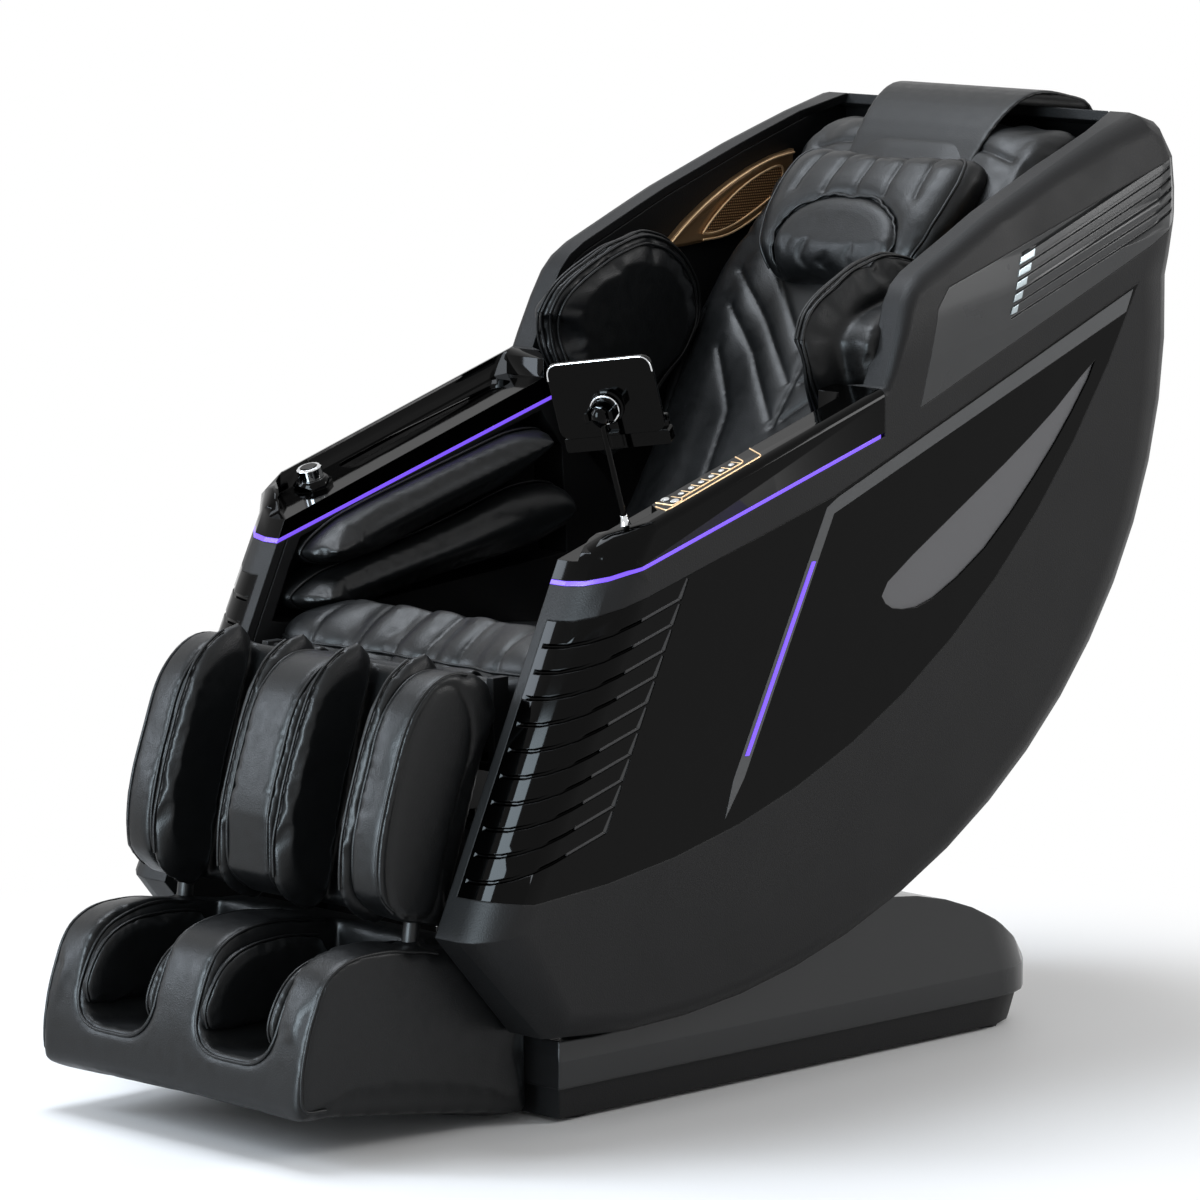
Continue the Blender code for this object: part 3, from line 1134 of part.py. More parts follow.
def add_drive(base):
    """Gear motor whose rollers turn against the running edges of the two rails."""
    y, z = polar(TILT_CENTRE, RAIL_RADIUS + DRIVE_RADIUS + GAP, DRIVE_ANGLE)
    low = PLINTH_TOP_Z + GAP
    bearing = RAIL_X - 0.022
    drive = box(-bearing - 0.007, bearing + 0.007, y - 0.036, y + 0.036, low, low + 0.008)
    for x in (-bearing, bearing):
        drive = fuse(drive, box(x - 0.006, x + 0.006, y - 0.018, y + 0.018, low + 0.004, z + 0.018))
    drive = fuse(drive, box(0.100, 0.150, y - 0.034, y + 0.034, low + 0.004, z + 0.030))
    drive = fuse(drive, rod((-0.070, y, low + 0.036), (0.120, y, low + 0.036), 0.032, 20))
    drive = cut(drive, rod((-0.26, y, z), (0.26, y, z), DRIVE_SHAFT + 0.0005))
    solid("recline_drive", drive, STEEL, base)

    spin = empty("joint_drive_rollers", base, (0, y, z))
    rollers = rod((-RAIL_X - RAIL_WIDTH - 0.002, y, z), (RAIL_X + RAIL_WIDTH + 0.002, y, z), DRIVE_SHAFT)
    for s in (1, -1):
        wheel = rod((s * (RAIL_X - 0.002), y, z), (s * (RAIL_X + RAIL_WIDTH + 0.001), y, z), DRIVE_RADIUS, 24)
        rollers = fuse(rollers, wheel)
    solid("drive_rollers", rollers, MATTE_BLACK, spin)


# ------------------------------------------------------------------ leg rest
def leg_outline():
    """Side view of the leg block's walls: round front, straight rear."""
    front = smooth([(-0.440, 0.602), (-0.500, 0.606), (-0.555, 0.560), (-0.590, 0.480), (-0.612, 0.400),
                    (-0.612, 0.330), (-0.575, 0.292)], 3, closed=False)
    return front + [(-0.495, 0.272), (-0.402, 0.545), (-0.415, 0.585)]


def leg_direction():
    """Down along the leg rest."""
    a = math.radians(LEG_LEAN)
    return Vector((0, -math.sin(a), -math.cos(a)))


def rods_start():
    """Where the foot rest's rods leave its top, in the side view."""
    return (-0.532, 0.262)


def add_leg_rest(leg):
    block = prism(leg_outline(), -LEG_HALF_WIDTH, LEG_HALF_WIDTH)
    well = [(-0.75, 0.80), (-0.434, 0.80), (-0.434, 0.600), (-0.540, 0.20), (-0.75, 0.20)]
    for s in (1, -1):
        x0, x1 = sorted((s * LEG_CENTRE_HALF, s * (LEG_HALF_WIDTH - LEG_WALL)))
        block = cut(block, prism(well, x0, x1))
        y, z = rods_start()
        start = Vector((s * (LEG_HALF_WIDTH - LEG_WALL / 2), y, z))
        block = cut(block, rod(start + leg_direction() * 0.05, start - leg_direction() * (ROD_LENGTH + 0.012),
                               ROD_RADIUS + 0.0005))
        py, pz = LEG_PIVOT
        x0, x1 = sorted((s * 0.120, s * 0.180))
        lug = fan((py, pz), LEG_PIVOT_RADIUS + 0.008, 70, 250, 8) + [(-0.432, 0.545), (-0.450, 0.490)]
        block = fuse(block, prism(lug, x0, x1))
        block = cut(block, rod((x0 - 0.01, py, pz), (x1 + 0.01, py, pz), LEG_PIVOT_RADIUS + 0.0005, 24))
    solid("calf_frame", block, LEATHER, leg)

    outline = smooth([(-0.447, 0.606), (-0.505, 0.618), (-0.562, 0.568), (-0.598, 0.480), (-0.621, 0.398),
                      (-0.620, 0.322), (-0.580, 0.284), (-0.532, 0.290), (-0.490, 0.430)], 2)
    inner = LEG_CENTRE_HALF + GAP
    outer = LEG_HALF_WIDTH - LEG_WALL - GAP
    pads = ((-outer, LEG_PAD), (-inner, -LEG_PAD), (inner, LEG_PAD), (outer, -LEG_PAD))
    for number, (base_x, height) in enumerate(pads, 1):
        solid(f"calf_airbag_{number}", cushion(outline, base_x, height, edge=0.008), LEATHER, leg)


def foot_floor(y):
    """Height of the foot wells' floor."""
    return 0.122 - math.tan(math.radians(LEG_LEAN)) * (y + 0.740)


def add_foot_rest(foot):
    outline = [(-0.752, 0.064), (-0.360, 0.010), (-0.352, 0.018), (-0.352, 0.190), (-0.380, 0.228),
               (-0.440, 0.246), (-0.545, 0.262)]
    outline += smooth([(-0.600, 0.268), (-0.665, 0.262), (-0.712, 0.236), (-0.742, 0.180), (-0.757, 0.120),
                       (-0.760, 0.074)], 3, closed=False)
    block = prism(outline, -FOOT_HALF_WIDTH, FOOT_HALF_WIDTH)
    direction = leg_direction()
    for s in (1, -1):
        x0, x1 = sorted((s * LEG_CENTRE_HALF, s * (FOOT_HALF_WIDTH - 0.066)))
        section = fan((x0 + 0.045, 0.045), 0.045, 270, 360, 5) + fan((x1 - 0.045, 0.045), 0.045, 0, 90, 5)
        section += [(x1, 0.4), (x0, 0.4)]
        block = cut(block, loft([[(x, y, foot_floor(y) + z) for x, z in section] for y in (-0.85, -0.500)]))
        middle = (x0 + x1) / 2
        ry = -0.620
        rz = foot_floor(ry) - 0.010
        block = cut(block, box(middle - 0.042, middle + 0.042, ry - 0.021, ry + 0.021, rz - 0.020, rz + 0.03))
        block = cut(block, rod((middle - 0.050, ry, rz), (middle + 0.050, ry, rz), 0.0055))
        y, z = rods_start()
        start = Vector((s * (LEG_HALF_WIDTH - LEG_WALL / 2), y, z))
        block = fuse(block, rod(start + direction * 0.04, start - direction * ROD_LENGTH, ROD_RADIUS))
    solid("foot_block", block, LEATHER, foot)
    for s, word in ((1, "left"), (-1, "right")):
        x0, x1 = sorted((s * LEG_CENTRE_HALF, s * (FOOT_HALF_WIDTH - 0.066)))
        middle = (x0 + x1) / 2
        ry = -0.620
        rz = foot_floor(ry) - 0.010
        body = empty(f"joint_foot_roller_{word}", foot, (middle, ry, rz))
        profile = [(-0.049, 0.0050), (-0.0405, 0.0050), (-0.0400, SOLE_ROLLER_RADIUS - 0.004)]
        for i in range(3):
            profile += [(-0.027 + 0.027 * i, SOLE_ROLLER_RADIUS), (-0.0135 + 0.027 * i, SOLE_ROLLER_RADIUS - 0.004)]
        profile = profile[:-1] + [(0.0400, SOLE_ROLLER_RADIUS - 0.004), (0.0405, 0.0050), (0.049, 0.0050)]
        solid(f"foot_roller_{word}", turned((middle, ry, rz), (1, 0, 0), profile, 12), MATTE_BLACK, body)


# ------------------------------------------------------------------ whole chair
def clear_scene():
    for obj in list(bpy.data.objects):
        bpy.data.objects.remove(obj)


def build():
    clear_scene()
    foot_front = -0.760
    back_end = TUB_CENTRE[0] + TUB_DEPTH + 0.018
    centre = (foot_front + back_end) / 2
    base = empty("massage_chair")
    base.location.y = -centre
    add_base(base)
    add_cradle(base)
    add_drive(base)

    chair = empty("joint_recline", base, (0, *TILT_CENTRE))
    add_seat_frame(chair)
    add_shells(chair)
    add_panels(chair)
    add_liners(chair)
    add_arm_airbags(chair)
    add_shoulder_airbags(chair)
    add_speakers(chair)
    add_lights(chair)
    add_consoles(chair)
    add_buttons(chair)
    add_knob(chair)
    add_phone_holder(chair)
    add_seat(chair)
    add_back(chair)
    add_pillow(chair)
    add_flap(chair)
    add_rear_cover(chair)
    add_track(chair)
    add_carriage(chair)
    add_power_box(chair)

    leg = empty("joint_legrest", chair, (0, *LEG_PIVOT))
    add_leg_rest(leg)
    foot = empty("joint_footrest", leg, (0, *rods_start()))
    add_foot_rest(foot)


build()
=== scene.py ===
"""Reclining massage chair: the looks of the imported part.  Metres; the sitter faces -Y and "left" is +X."""
import json
import math

import bmesh
import bpy
from mathutils import Matrix, Vector
from mathutils.bvhtree import BVHTree
from mathutils.kdtree import KDTree


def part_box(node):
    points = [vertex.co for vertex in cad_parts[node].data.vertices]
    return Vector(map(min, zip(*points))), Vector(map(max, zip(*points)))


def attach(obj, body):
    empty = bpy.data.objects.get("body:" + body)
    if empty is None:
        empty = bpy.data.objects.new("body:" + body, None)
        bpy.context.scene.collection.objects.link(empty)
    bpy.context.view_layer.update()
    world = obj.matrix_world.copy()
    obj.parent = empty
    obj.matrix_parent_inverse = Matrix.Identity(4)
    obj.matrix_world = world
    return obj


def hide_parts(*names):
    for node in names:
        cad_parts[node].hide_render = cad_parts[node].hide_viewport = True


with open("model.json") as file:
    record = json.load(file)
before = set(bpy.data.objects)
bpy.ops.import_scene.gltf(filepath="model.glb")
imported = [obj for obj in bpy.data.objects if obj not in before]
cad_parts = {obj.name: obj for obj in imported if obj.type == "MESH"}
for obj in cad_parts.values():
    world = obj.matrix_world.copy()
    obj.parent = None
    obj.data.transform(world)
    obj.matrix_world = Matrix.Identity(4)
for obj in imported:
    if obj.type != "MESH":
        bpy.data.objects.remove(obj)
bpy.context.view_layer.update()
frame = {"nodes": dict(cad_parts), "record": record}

# ------------------------------------------------------------------ camera
# A long lens from the sitter's front left, a little above the seat, as a studio takes a large product:
# the far lens keeps the sides of the chair almost parallel.
CAMERA_AZIMUTH = 45.7
CAMERA_ELEVATION = 8.4
CAMERA_DISTANCE = 8.90
CAMERA_TARGET = Vector((0.0, -0.0224, 0.620))
azimuth, elevation = math.radians(CAMERA_AZIMUTH), math.radians(CAMERA_ELEVATION)
away = Vector((math.sin(azimuth) * math.cos(elevation), -math.cos(azimuth) * math.cos(elevation),
               math.sin(elevation)))
camera_data = bpy.data.cameras.new("camera")
camera_data.sensor_width = 36.0
camera_data.lens = 197.58
camera_data.clip_end = 60.0
camera = bpy.data.objects.new("camera", camera_data)
camera.location = CAMERA_TARGET + away * CAMERA_DISTANCE
camera.rotation_euler = (-away).to_track_quat("-Z", "Y").to_euler()
bpy.context.scene.collection.objects.link(camera)
bpy.context.scene.camera = camera
bpy.context.scene.view_settings.view_transform = "Standard"


# ------------------------------------------------------------------ studio
# A pale painted floor that runs into a white backdrop, soft lamps over and beside the chair, and a tall lamp
# before it that lights no matte surface and draws the highlights on the gloss fronts and the leather.
def linear(code):
    """sRGB hex colour as linear light."""
    parts = [int(code[i:i + 2], 16) / 255 for i in (1, 3, 5)]
    return [p / 12.92 if p <= 0.04045 else ((p + 0.055) / 1.055) ** 2.4 for p in parts] + [1.0]


def add_node(tree, kind, sockets=None, **settings):
    """Adds a node with its settings; a socket's value is a constant, or the output that feeds it."""
    made = tree.nodes.new(kind)
    for key, value in settings.items():
        setattr(made, key, value)
    for key, value in (sockets or {}).items():
        if isinstance(value, bpy.types.NodeSocket):
            tree.links.new(value, made.inputs[key])
        else:
            made.inputs[key].default_value = value
    return made


def backdrop_rays(tree):
    """1 for camera, glossy and transmission rays, which see the white backdrop."""
    path = add_node(tree, "ShaderNodeLightPath")
    first = add_node(tree, "ShaderNodeMath", {0: path.outputs["Is Camera Ray"], 1: path.outputs["Is Glossy Ray"]},
                     operation="MAXIMUM")
    both = add_node(tree, "ShaderNodeMath", {0: first.outputs[0], 1: path.outputs["Is Transmission Ray"]},
                    operation="MAXIMUM")
    return both.outputs[0]


world = bpy.data.worlds.new("studio")
bpy.context.scene.world = world
world.use_nodes = True
tree = world.node_tree
tree.nodes.clear()
dim = add_node(tree, "ShaderNodeBackground", {"Color": linear("#ffffff"), "Strength": 0.45})
white = add_node(tree, "ShaderNodeBackground", {"Color": linear("#ffffff"), "Strength": 1.0})
mixed = add_node(tree, "ShaderNodeMixShader", {0: backdrop_rays(tree), 1: dim.outputs[0], 2: white.outputs[0]})
add_node(tree, "ShaderNodeOutputWorld", {0: mixed.outputs[0]})

floor_mesh = bpy.data.meshes.new("floor")
bm = bmesh.new()
bmesh.ops.create_circle(bm, cap_ends=True, segments=64, radius=30.0)
bm.to_mesh(floor_mesh)
bm.free()
floor = bpy.data.objects.new("floor", floor_mesh)
bpy.context.scene.collection.objects.link(floor)
paint = bpy.data.materials.new("white_painted_floor")
paint.use_nodes = True
tree = paint.node_tree
tree.nodes.clear()
place = add_node(tree, "ShaderNodeTexCoord")
radius = add_node(tree, "ShaderNodeVectorMath", {0: place.outputs["Object"]}, operation="LENGTH")
fade = add_node(tree, "ShaderNodeMapRange", {0: radius.outputs["Value"], 1: 0.75, 2: 1.45, 3: 0.0, 4: 1.0},
                interpolation_type="SMOOTHSTEP")
seen = add_node(tree, "ShaderNodeMath", {0: backdrop_rays(tree), 1: fade.outputs[0]}, operation="MULTIPLY")
matte = add_node(tree, "ShaderNodeBsdfPrincipled", {"Base Color": linear("#f4f4f4"), "Roughness": 0.6})
glow = add_node(tree, "ShaderNodeEmission", {"Color": linear("#ffffff"), "Strength": 1.0})
mixed = add_node(tree, "ShaderNodeMixShader", {0: seen.outputs[0], 1: matte.outputs[0], 2: glow.outputs[0]})
add_node(tree, "ShaderNodeOutputMaterial", {0: mixed.outputs[0]})
floor.data.materials.append(paint)


def softbox(name, place, target, width, height, power, colour="#ffffff"):
    """Area lamp that looks at a point."""
    data = bpy.data.lights.new(name, "AREA")
    data.shape = "RECTANGLE"
    data.size = width
    data.size_y = height
    data.energy = power
    data.color = linear(colour)[:3]
    lamp = bpy.data.objects.new(name, data)
    lamp.location = place
    lamp.rotation_euler = (Vector(target) - Vector(place)).to_track_quat("-Z", "Y").to_euler()
    bpy.context.scene.collection.objects.link(lamp)
    return lamp


softbox("overhead", (-0.9, -0.3, 3.8), (0, 0, 0.5), 2.0, 1.6, 110, "#eef6ff")
softbox("front_left", (-3.1, -3.2, 2.3), (0, -0.3, 0.5), 1.0, 2.4, 120, "#e6f2ff")
softbox("rear_right", (3.4, 2.8, 2.6), (0, 0.3, 0.8), 1.0, 1.6, 70)
reflector = softbox("front_reflector", (0.4, -4.2, 1.5), (0.2, -0.4, 0.9), 1.7, 2.9, 420, "#dceefa")
reflector.visible_diffuse = False


# ------------------------------------------------------------------ frame, cradle and mechanism
# The seat frame's curved rails and tubes are bent and welded steel, powder-coated black; the cradle is
# pressed and welded steel plate, coated the same, and bolts to the floor frame.
def start_material(name, colour, roughness, **sockets):
    """New material with its Principled shader set."""
    made = bpy.data.materials.new(name)
    made.use_nodes = True
    shader = made.node_tree.nodes["Principled BSDF"]
    shader.inputs["Base Color"].default_value = linear(colour)
    shader.inputs["Roughness"].default_value = roughness
    for key, value in sockets.items():
        shader.inputs[key.replace("_", " ")].default_value = value
    return made, made.node_tree, shader


def moulded_grain(tree, shader, grain, depth, spread, edge=0.0015):
    """Fine surface grain of the given size in metres, uneven gloss, and edges with a small radius."""
    place = add_node(tree, "ShaderNodeTexCoord")
    rounded = add_node(tree, "ShaderNodeBevel", {"Radius": edge}, samples=6)
    fine = add_node(tree, "ShaderNodeTexNoise", {"Vector": place.outputs["Object"], "Scale": 1.0 / grain,
                                                 "Detail": 2.0})
    bump = add_node(tree, "ShaderNodeBump", {"Strength": depth, "Distance": grain * 0.25,
                                             "Height": fine.outputs[0], "Normal": rounded.outputs[0]})
    tree.links.new(bump.outputs[0], shader.inputs["Normal"])
    broad = add_node(tree, "ShaderNodeTexNoise", {"Vector": place.outputs["Object"], "Scale": 9.0, "Detail": 3.0})
    base = shader.inputs["Roughness"].default_value
    gloss = add_node(tree, "ShaderNodeMapRange", {0: broad.outputs[0], 1: 0.3, 2: 0.7, 3: base - spread,
                                                  4: base + spread})
    tree.links.new(gloss.outputs[0], shader.inputs["Roughness"])


def written(bm, name):
    """Mesh made from a bmesh, which is then freed."""
    mesh = bpy.data.meshes.new(name)
    bm.to_mesh(mesh)
    bm.free()
    return mesh


def joined(node):
    """Mesh of a CAD node with its triangles joined."""
    bm = bmesh.new()
    bm.from_mesh(frame["nodes"][node].data)
    bmesh.ops.remove_doubles(bm, verts=bm.verts, dist=1e-5)
    bmesh.ops.recalc_face_normals(bm, faces=bm.faces)
    return bm


def modified(mesh, kind, **settings):
    """Mesh after one modifier."""
    holder = bpy.data.objects.new("holder", mesh)
    bpy.context.scene.collection.objects.link(holder)
    modifier = holder.modifiers.new("shape", kind)
    for key, value in settings.items():
        setattr(modifier, key, value)
    result = bpy.data.meshes.new_from_object(holder.evaluated_get(bpy.context.evaluated_depsgraph_get()))
    bpy.data.objects.remove(holder)
    return result


def link_piece(name, mesh, body, material, slot, *nodes):
    """Puts a finished piece on the body it moves with."""
    piece = bpy.data.objects.new(name, mesh)
    bpy.context.scene.collection.objects.link(piece)
    mesh.materials.clear()
    mesh.materials.append(material)
    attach(piece, body)
    if nodes:
        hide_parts(*nodes)
    return piece


SLOTS = {row["node"]: row["material_slot"] for row in frame["record"]["subparts"]}
BODIES = {node: body for body, nodes in frame["record"]["behaviour"]["bodies"].items() for node in nodes}


def shaded(mesh, sharp):
    """Smooth shading over shallow facets, flat faces kept flat, and edges past the angle kept sharp."""
    mesh.shade_smooth()
    mesh.set_sharp_from_angle(angle=math.radians(sharp))
    return modified(mesh, "WEIGHTED_NORMAL", mode="FACE_AREA", weight=50, keep_sharp=True)


def finished(material, *nodes, sharp=32):
    """Stands a cleaned copy in each CAD node's place: facets of one plane joined and round corners smooth."""
    for node in nodes:
        bm = joined(node)
        bmesh.ops.dissolve_limit(bm, angle_limit=math.radians(0.3), verts=bm.verts, edges=bm.edges)
        link_piece(node + "_finish", shaded(written(bm, node), sharp), BODIES[node], material, SLOTS[node], node)


# Powder-coated steel: a faint orange-peel of 2 mm waves under a half-gloss black.
coated_steel, tree, shader = start_material("powder_coated_steel", "#131415", 0.42, Specular_IOR_Level=0.3)
moulded_grain(tree, shader, 0.002, 0.10, 0.05)
finished(coated_steel, "seat_frame", "base_cradle", "recline_drive", "massage_track", "massage_carriage")

# Nitrile rubber on the drive rollers: dull, with the marks of grinding, 1.2 mm apart.
ground_rubber, tree, shader = start_material("ground_rubber", "#141414", 0.78)
moulded_grain(tree, shader, 0.0012, 0.35, 0.06)
finished(ground_rubber, "drive_rollers")

# Polyurethane massage rollers: smooth, with a soft sheen.
cast_polyurethane, tree, shader = start_material("cast_polyurethane", "#2a2624", 0.35, Coat_Weight=0.1)
moulded_grain(tree, shader, 0.003, 0.08, 0.05)
finished(cast_polyurethane, "kneading_rollers", "foot_roller_left", "foot_roller_right", sharp=40)

# ------------------------------------------------------------------ base
# Injection-moulded plinth in matte black ABS over the steel floor frame, and a vacuum-formed cover in
# dark grey gloss with a shallow dish at the rear; four rubber pads under it touch the floor.
matte_abs, tree, shader = start_material("spark_eroded_abs", "#0f0f10", 0.50, Specular_IOR_Level=0.20)
moulded_grain(tree, shader, 0.0022, 0.60, 0.05, 0.003)     # real grain 0.3 mm, drawn at 2.2 mm so that it shows
finished(matte_abs, "base_plinth", "power_box")

base_gloss, tree, shader = start_material("gloss_grey_abs", "#252627", 0.20, Specular_IOR_Level=0.32)
moulded_grain(tree, shader, 0.02, 0.04, 0.04, 0.004)
finished(base_gloss, "base_cover")

# ------------------------------------------------------------------ outer shells and rear cover
# Three large injection mouldings in matte black ABS with a spark-eroded grain: the two side shells with
# their crescent underside, and the rear cover between them, clipped in from behind.
finished(matte_abs, "side_shell_left", "side_shell_right", "rear_cover", "inner_liner_left", "inner_liner_right")

# ------------------------------------------------------------------ gloss flank panels and arm caps
# Black ABS moulded in a polished tool, which mirrors the studio's tall lamp at the rounded front edge;
# the arm caps are the same, screwed down over the light guide.
piano_black, tree, shader = start_material("polished_black_abs", "#010101", 0.06, Specular_IOR_Level=0.09)
moulded_grain(tree, shader, 0.09, 0.015, 0.015, 0.0012)    # the slow ripple of a polished moulding
finished(piano_black, "side_panel_left", "side_panel_right", "arm_console_left", "arm_console_right")

# ------------------------------------------------------------------ satin panels and trims
# Upper panels and trim strips in satin paint over ABS, clipped into the flank; the vents are moulded. Inlays in other
# shades of the paint lie in the flank's crescent scoop and between the vents, and in its louvres as a painted
# highlight of the groove edges.
#
# Grey satin paint: even, with a soft sheen.
satin_paint, tree, shader = start_material("satin_grey_paint", "#2d2e2f", 0.30, Specular_IOR_Level=0.35)
moulded_grain(tree, shader, 0.0025, 0.05, 0.04, 0.0015)
finished(satin_paint, "upper_panel_left", "upper_panel_right")
# Paler grey paint in the scoop: reads as a light leaf on the black flank.
pale_paint, tree, shader = start_material("pale_grey_paint", "#59595b", 0.34, Specular_IOR_Level=0.4)
moulded_grain(tree, shader, 0.0025, 0.05, 0.04, 0.0015)
# Mid grey paint of the trim strips: a plain line between gloss and grain.
trim_paint, tree, shader = start_material("trim_grey_paint", "#4c4d4e", 0.36, Specular_IOR_Level=0.3)
moulded_grain(tree, shader, 0.0010, 0.05, 0.03, 0.0004)
finished(trim_paint, "panel_trim_left", "panel_trim_right")
# Dark grey in the louvre grooves: a painted highlight of the groove edges catching the light, which parts them from
# the black blades.
groove_highlight_paint, tree, shader = start_material("painted_groove_highlight", "#343435", 0.30, Specular_IOR_Level=0.3)
moulded_grain(tree, shader, 0.0025, 0.05, 0.04, 0.0015)
# Silver metal-flake paint on the slats' tips: small bright marks.
silver_paint, tree, shader = start_material("silver_paint", "#a9b4b8", 0.30, Metallic=0.6)
moulded_grain(tree, shader, 0.0025, 0.05, 0.04, 0.0015)

DATUM = -0.044                  # the seat's datum plane in the chair's own frame


def at(x, y, z):
    """Point measured from the seat's datum plane."""
    return Vector((x, y + DATUM, z))


def through(points, steps, closed=True):
    """Smooth run through the points."""
    count = len(points)
    run = []
    for i in range(count if closed else count - 1):
        a, b, c, d = (points[(i + k) % count if closed else min(max(i + k, 0), count - 1)] for k in (-1, 0, 1, 2))
        for step in range(steps):
            t = step / steps
            run.append(tuple(0.5 * (2 * q + (r - p) * t + (2 * p - 5 * q + 4 * r - s) * t * t
                                    + (3 * q - p - 3 * r + s) * t ** 3) for p, q, r, s in zip(a, b, c, d)))
    run.append(run[0] if closed else tuple(points[-1]))
    return run


def other_side(mesh):
    """Mirror image of a mesh."""
    bm = bmesh.new()
    bm.from_mesh(mesh)
    bmesh.ops.scale(bm, verts=bm.verts, vec=(-1, 1, 1))
    bmesh.ops.recalc_face_normals(bm, faces=bm.faces)
    turned_mesh = written(bm, mesh.name)
    turned_mesh.shade_smooth()
    return turned_mesh


def cut_plate(points, thickness, rounding, margin=0.0, crown=0.0):
    """Plate pushed out from a closed run of points: its outer edge rounded, or its whole face crowned."""
    bm = bmesh.new()
    face = bm.faces.new([bm.verts.new(p) for p in points])
    if margin:
        bmesh.ops.inset_region(bm, faces=[face], thickness=margin, use_even_offset=True)
        bmesh.ops.delete(bm, geom=[f for f in bm.faces if f != face], context="FACES")
    bmesh.ops.recalc_face_normals(bm, faces=bm.faces)
    grown = bmesh.ops.extrude_face_region(bm, geom=[face], use_keep_orig=True)["geom"]
    top = [v for v in grown if isinstance(v, bmesh.types.BMVert)]
    bmesh.ops.translate(bm, verts=top, vec=thickness)
    lid = next(f for f in bm.faces if all(v in top for v in f.verts))
    if crown:
        bmesh.ops.inset_region(bm, faces=[lid], thickness=crown, depth=crown * 0.12, use_even_offset=True)
    else:
        bmesh.ops.bevel(bm, geom=list(lid.edges), offset=rounding, offset_type="OFFSET", segments=2, profile=0.5,
                        affect="EDGES", material=-1)
    bmesh.ops.recalc_face_normals(bm, faces=bm.faces)
    return bm


def both_flanks(name, plates, material, slot):
    """Joins one flank's plates into a piece, and stands its mirror image on the other flank."""
    whole = bmesh.new()
    for bm in plates:
        part = written(bm, "part")
        whole.from_mesh(part)
        bpy.data.meshes.remove(part)
    mesh = shaded(written(whole, name), 40)
    link_piece(name + "_left", mesh, "chair", material, slot)
    link_piece(name + "_right", shaded(other_side(mesh), 40), "chair", material, slot)


def flat_plates(outlines, x, thickness, rounding, **shape):
    """Plates on the flank from their side view outlines."""
    return [cut_plate([at(x, y, z) for y, z in outline], (thickness, 0, 0), rounding, **shape)
            for outline in outlines]


FLANK_X = 0.365
SCOOP_FLOOR_X = 0.360
LAID_OFF = 0.0001               # left under a plate that lies in a recess
scoop = through([(0.612, 0.930), (0.530, 0.868), (0.430, 0.803), (0.310, 0.732), (0.200, 0.664), (0.196, 0.636),
                 (0.232, 0.624), (0.290, 0.634), (0.391, 0.691), (0.490, 0.780), (0.565, 0.862)], 2)[:-1]
both_flanks("scoop_inlay", flat_plates([scoop], SCOOP_FLOOR_X + LAID_OFF, 0.0022, 0.0006, margin=0.0005,
                                       crown=0.006), pale_paint, "satin_grey")

# The strips lie in the ten louvre grooves of the flank as a painted highlight of the groove edges; each has a hooked
# end in another shade, a painted highlight of the hook's edge.
LOUVRE_FLOOR_X = 0.3610
LOUVRE_HEIGHT = 0.0050
LOUVRE_PITCH = 0.0275
FIRST_LOUVRE_DROP = 0.064       # below the light strip
FRONT_LEAN = 0.545              # how fast the grooves' front ends move forward, per metre down
LIGHT_LEVEL, LIGHT_RISE = 0.805, 0.300
strips, hooks = [], []
for i in range(10):
    drop = FIRST_LOUVRE_DROP + LOUVRE_PITCH * i
    corner_y = -0.190 - 0.0151 * i
    flat_y = -0.258 - FRONT_LEAN * (drop - FIRST_LOUVRE_DROP)
    flat_z, corner_z = (LIGHT_LEVEL + LIGHT_RISE * y - drop for y in (flat_y, corner_y))
    tip = (corner_y + 0.012, corner_z + 0.024)
    strips.append([(flat_y, flat_z), (corner_y - 0.004, corner_z - 0.0012),
                   (corner_y + 0.003, corner_z + 0.0009 - LOUVRE_HEIGHT), (flat_y, flat_z - LOUVRE_HEIGHT)])
    hooks.append([(corner_y - 0.0035, corner_z - 0.001), tip, (tip[0] + 0.004, tip[1] - 0.001),
                  (corner_y + 0.0035, corner_z + 0.0009 - LOUVRE_HEIGHT)])
# Painted highlights: grey strips and hooks that stand in for the lit edges of the grooves.
both_flanks("louvre_strip_highlights", flat_plates(strips, LOUVRE_FLOOR_X + LAID_OFF, 0.0026, 0.0004, margin=0.0009),
            groove_highlight_paint, "satin_grey")
both_flanks("louvre_hook_highlights", flat_plates(hooks, LOUVRE_FLOOR_X + LAID_OFF, 0.0030, 0.0004, margin=0.0005),
            satin_paint, "satin_grey")

# Bright tips are set into the front ends of the upper panel's slats, between its vents.
CREASE_Y, CREASE_Z, CREASE_RISE = 0.200, 0.940, 0.200
WING_LEAN = 1.2                 # how fast a wing leans in, per metre above the crease
VENT_RISE = 0.36                # slope of the vents


def leaned(x, y, z):
    """Point of a wing, which curves inwards above its crease."""
    above = ((z - CREASE_Z) - CREASE_RISE * (y - CREASE_Y)) / math.hypot(1, CREASE_RISE)
    return at(x - WING_LEAN * max(above, 0.0) ** 2, y, z)


tips = []
for i in range(5):
    y, z = 0.4670 - 0.006 * i, 1.085 - 0.0165 * i - 0.0058
    length = 0.030 - 0.0045 * i
    corners = [(y, z), (y + length, z + VENT_RISE * length), (y + length - 0.004, z + VENT_RISE * length - 0.0107),
               (y - 0.004, z - 0.0093)]
    tips.append(cut_plate([leaned(FLANK_X - 0.0006, *corner) for corner in corners], (0.0016, 0, 0), 0.0004))
both_flanks("slat_tips", tips, silver_paint, "satin_grey")

# ------------------------------------------------------------------ light guides
# Frosted acrylic strips lit by violet diodes inside, one round each arm and one bar in each flank.
light_guide, tree, shader = start_material("frosted_acrylic_light", "#3a24a0", 0.35)
shader.inputs["Emission Color"].default_value = linear("#8058ff")
shader.inputs["Emission Strength"].default_value = 1.0
moulded_grain(tree, shader, 0.004, 0.05, 0.05)
finished(light_guide, "arm_light_left", "arm_light_right", "panel_light_left", "panel_light_right")

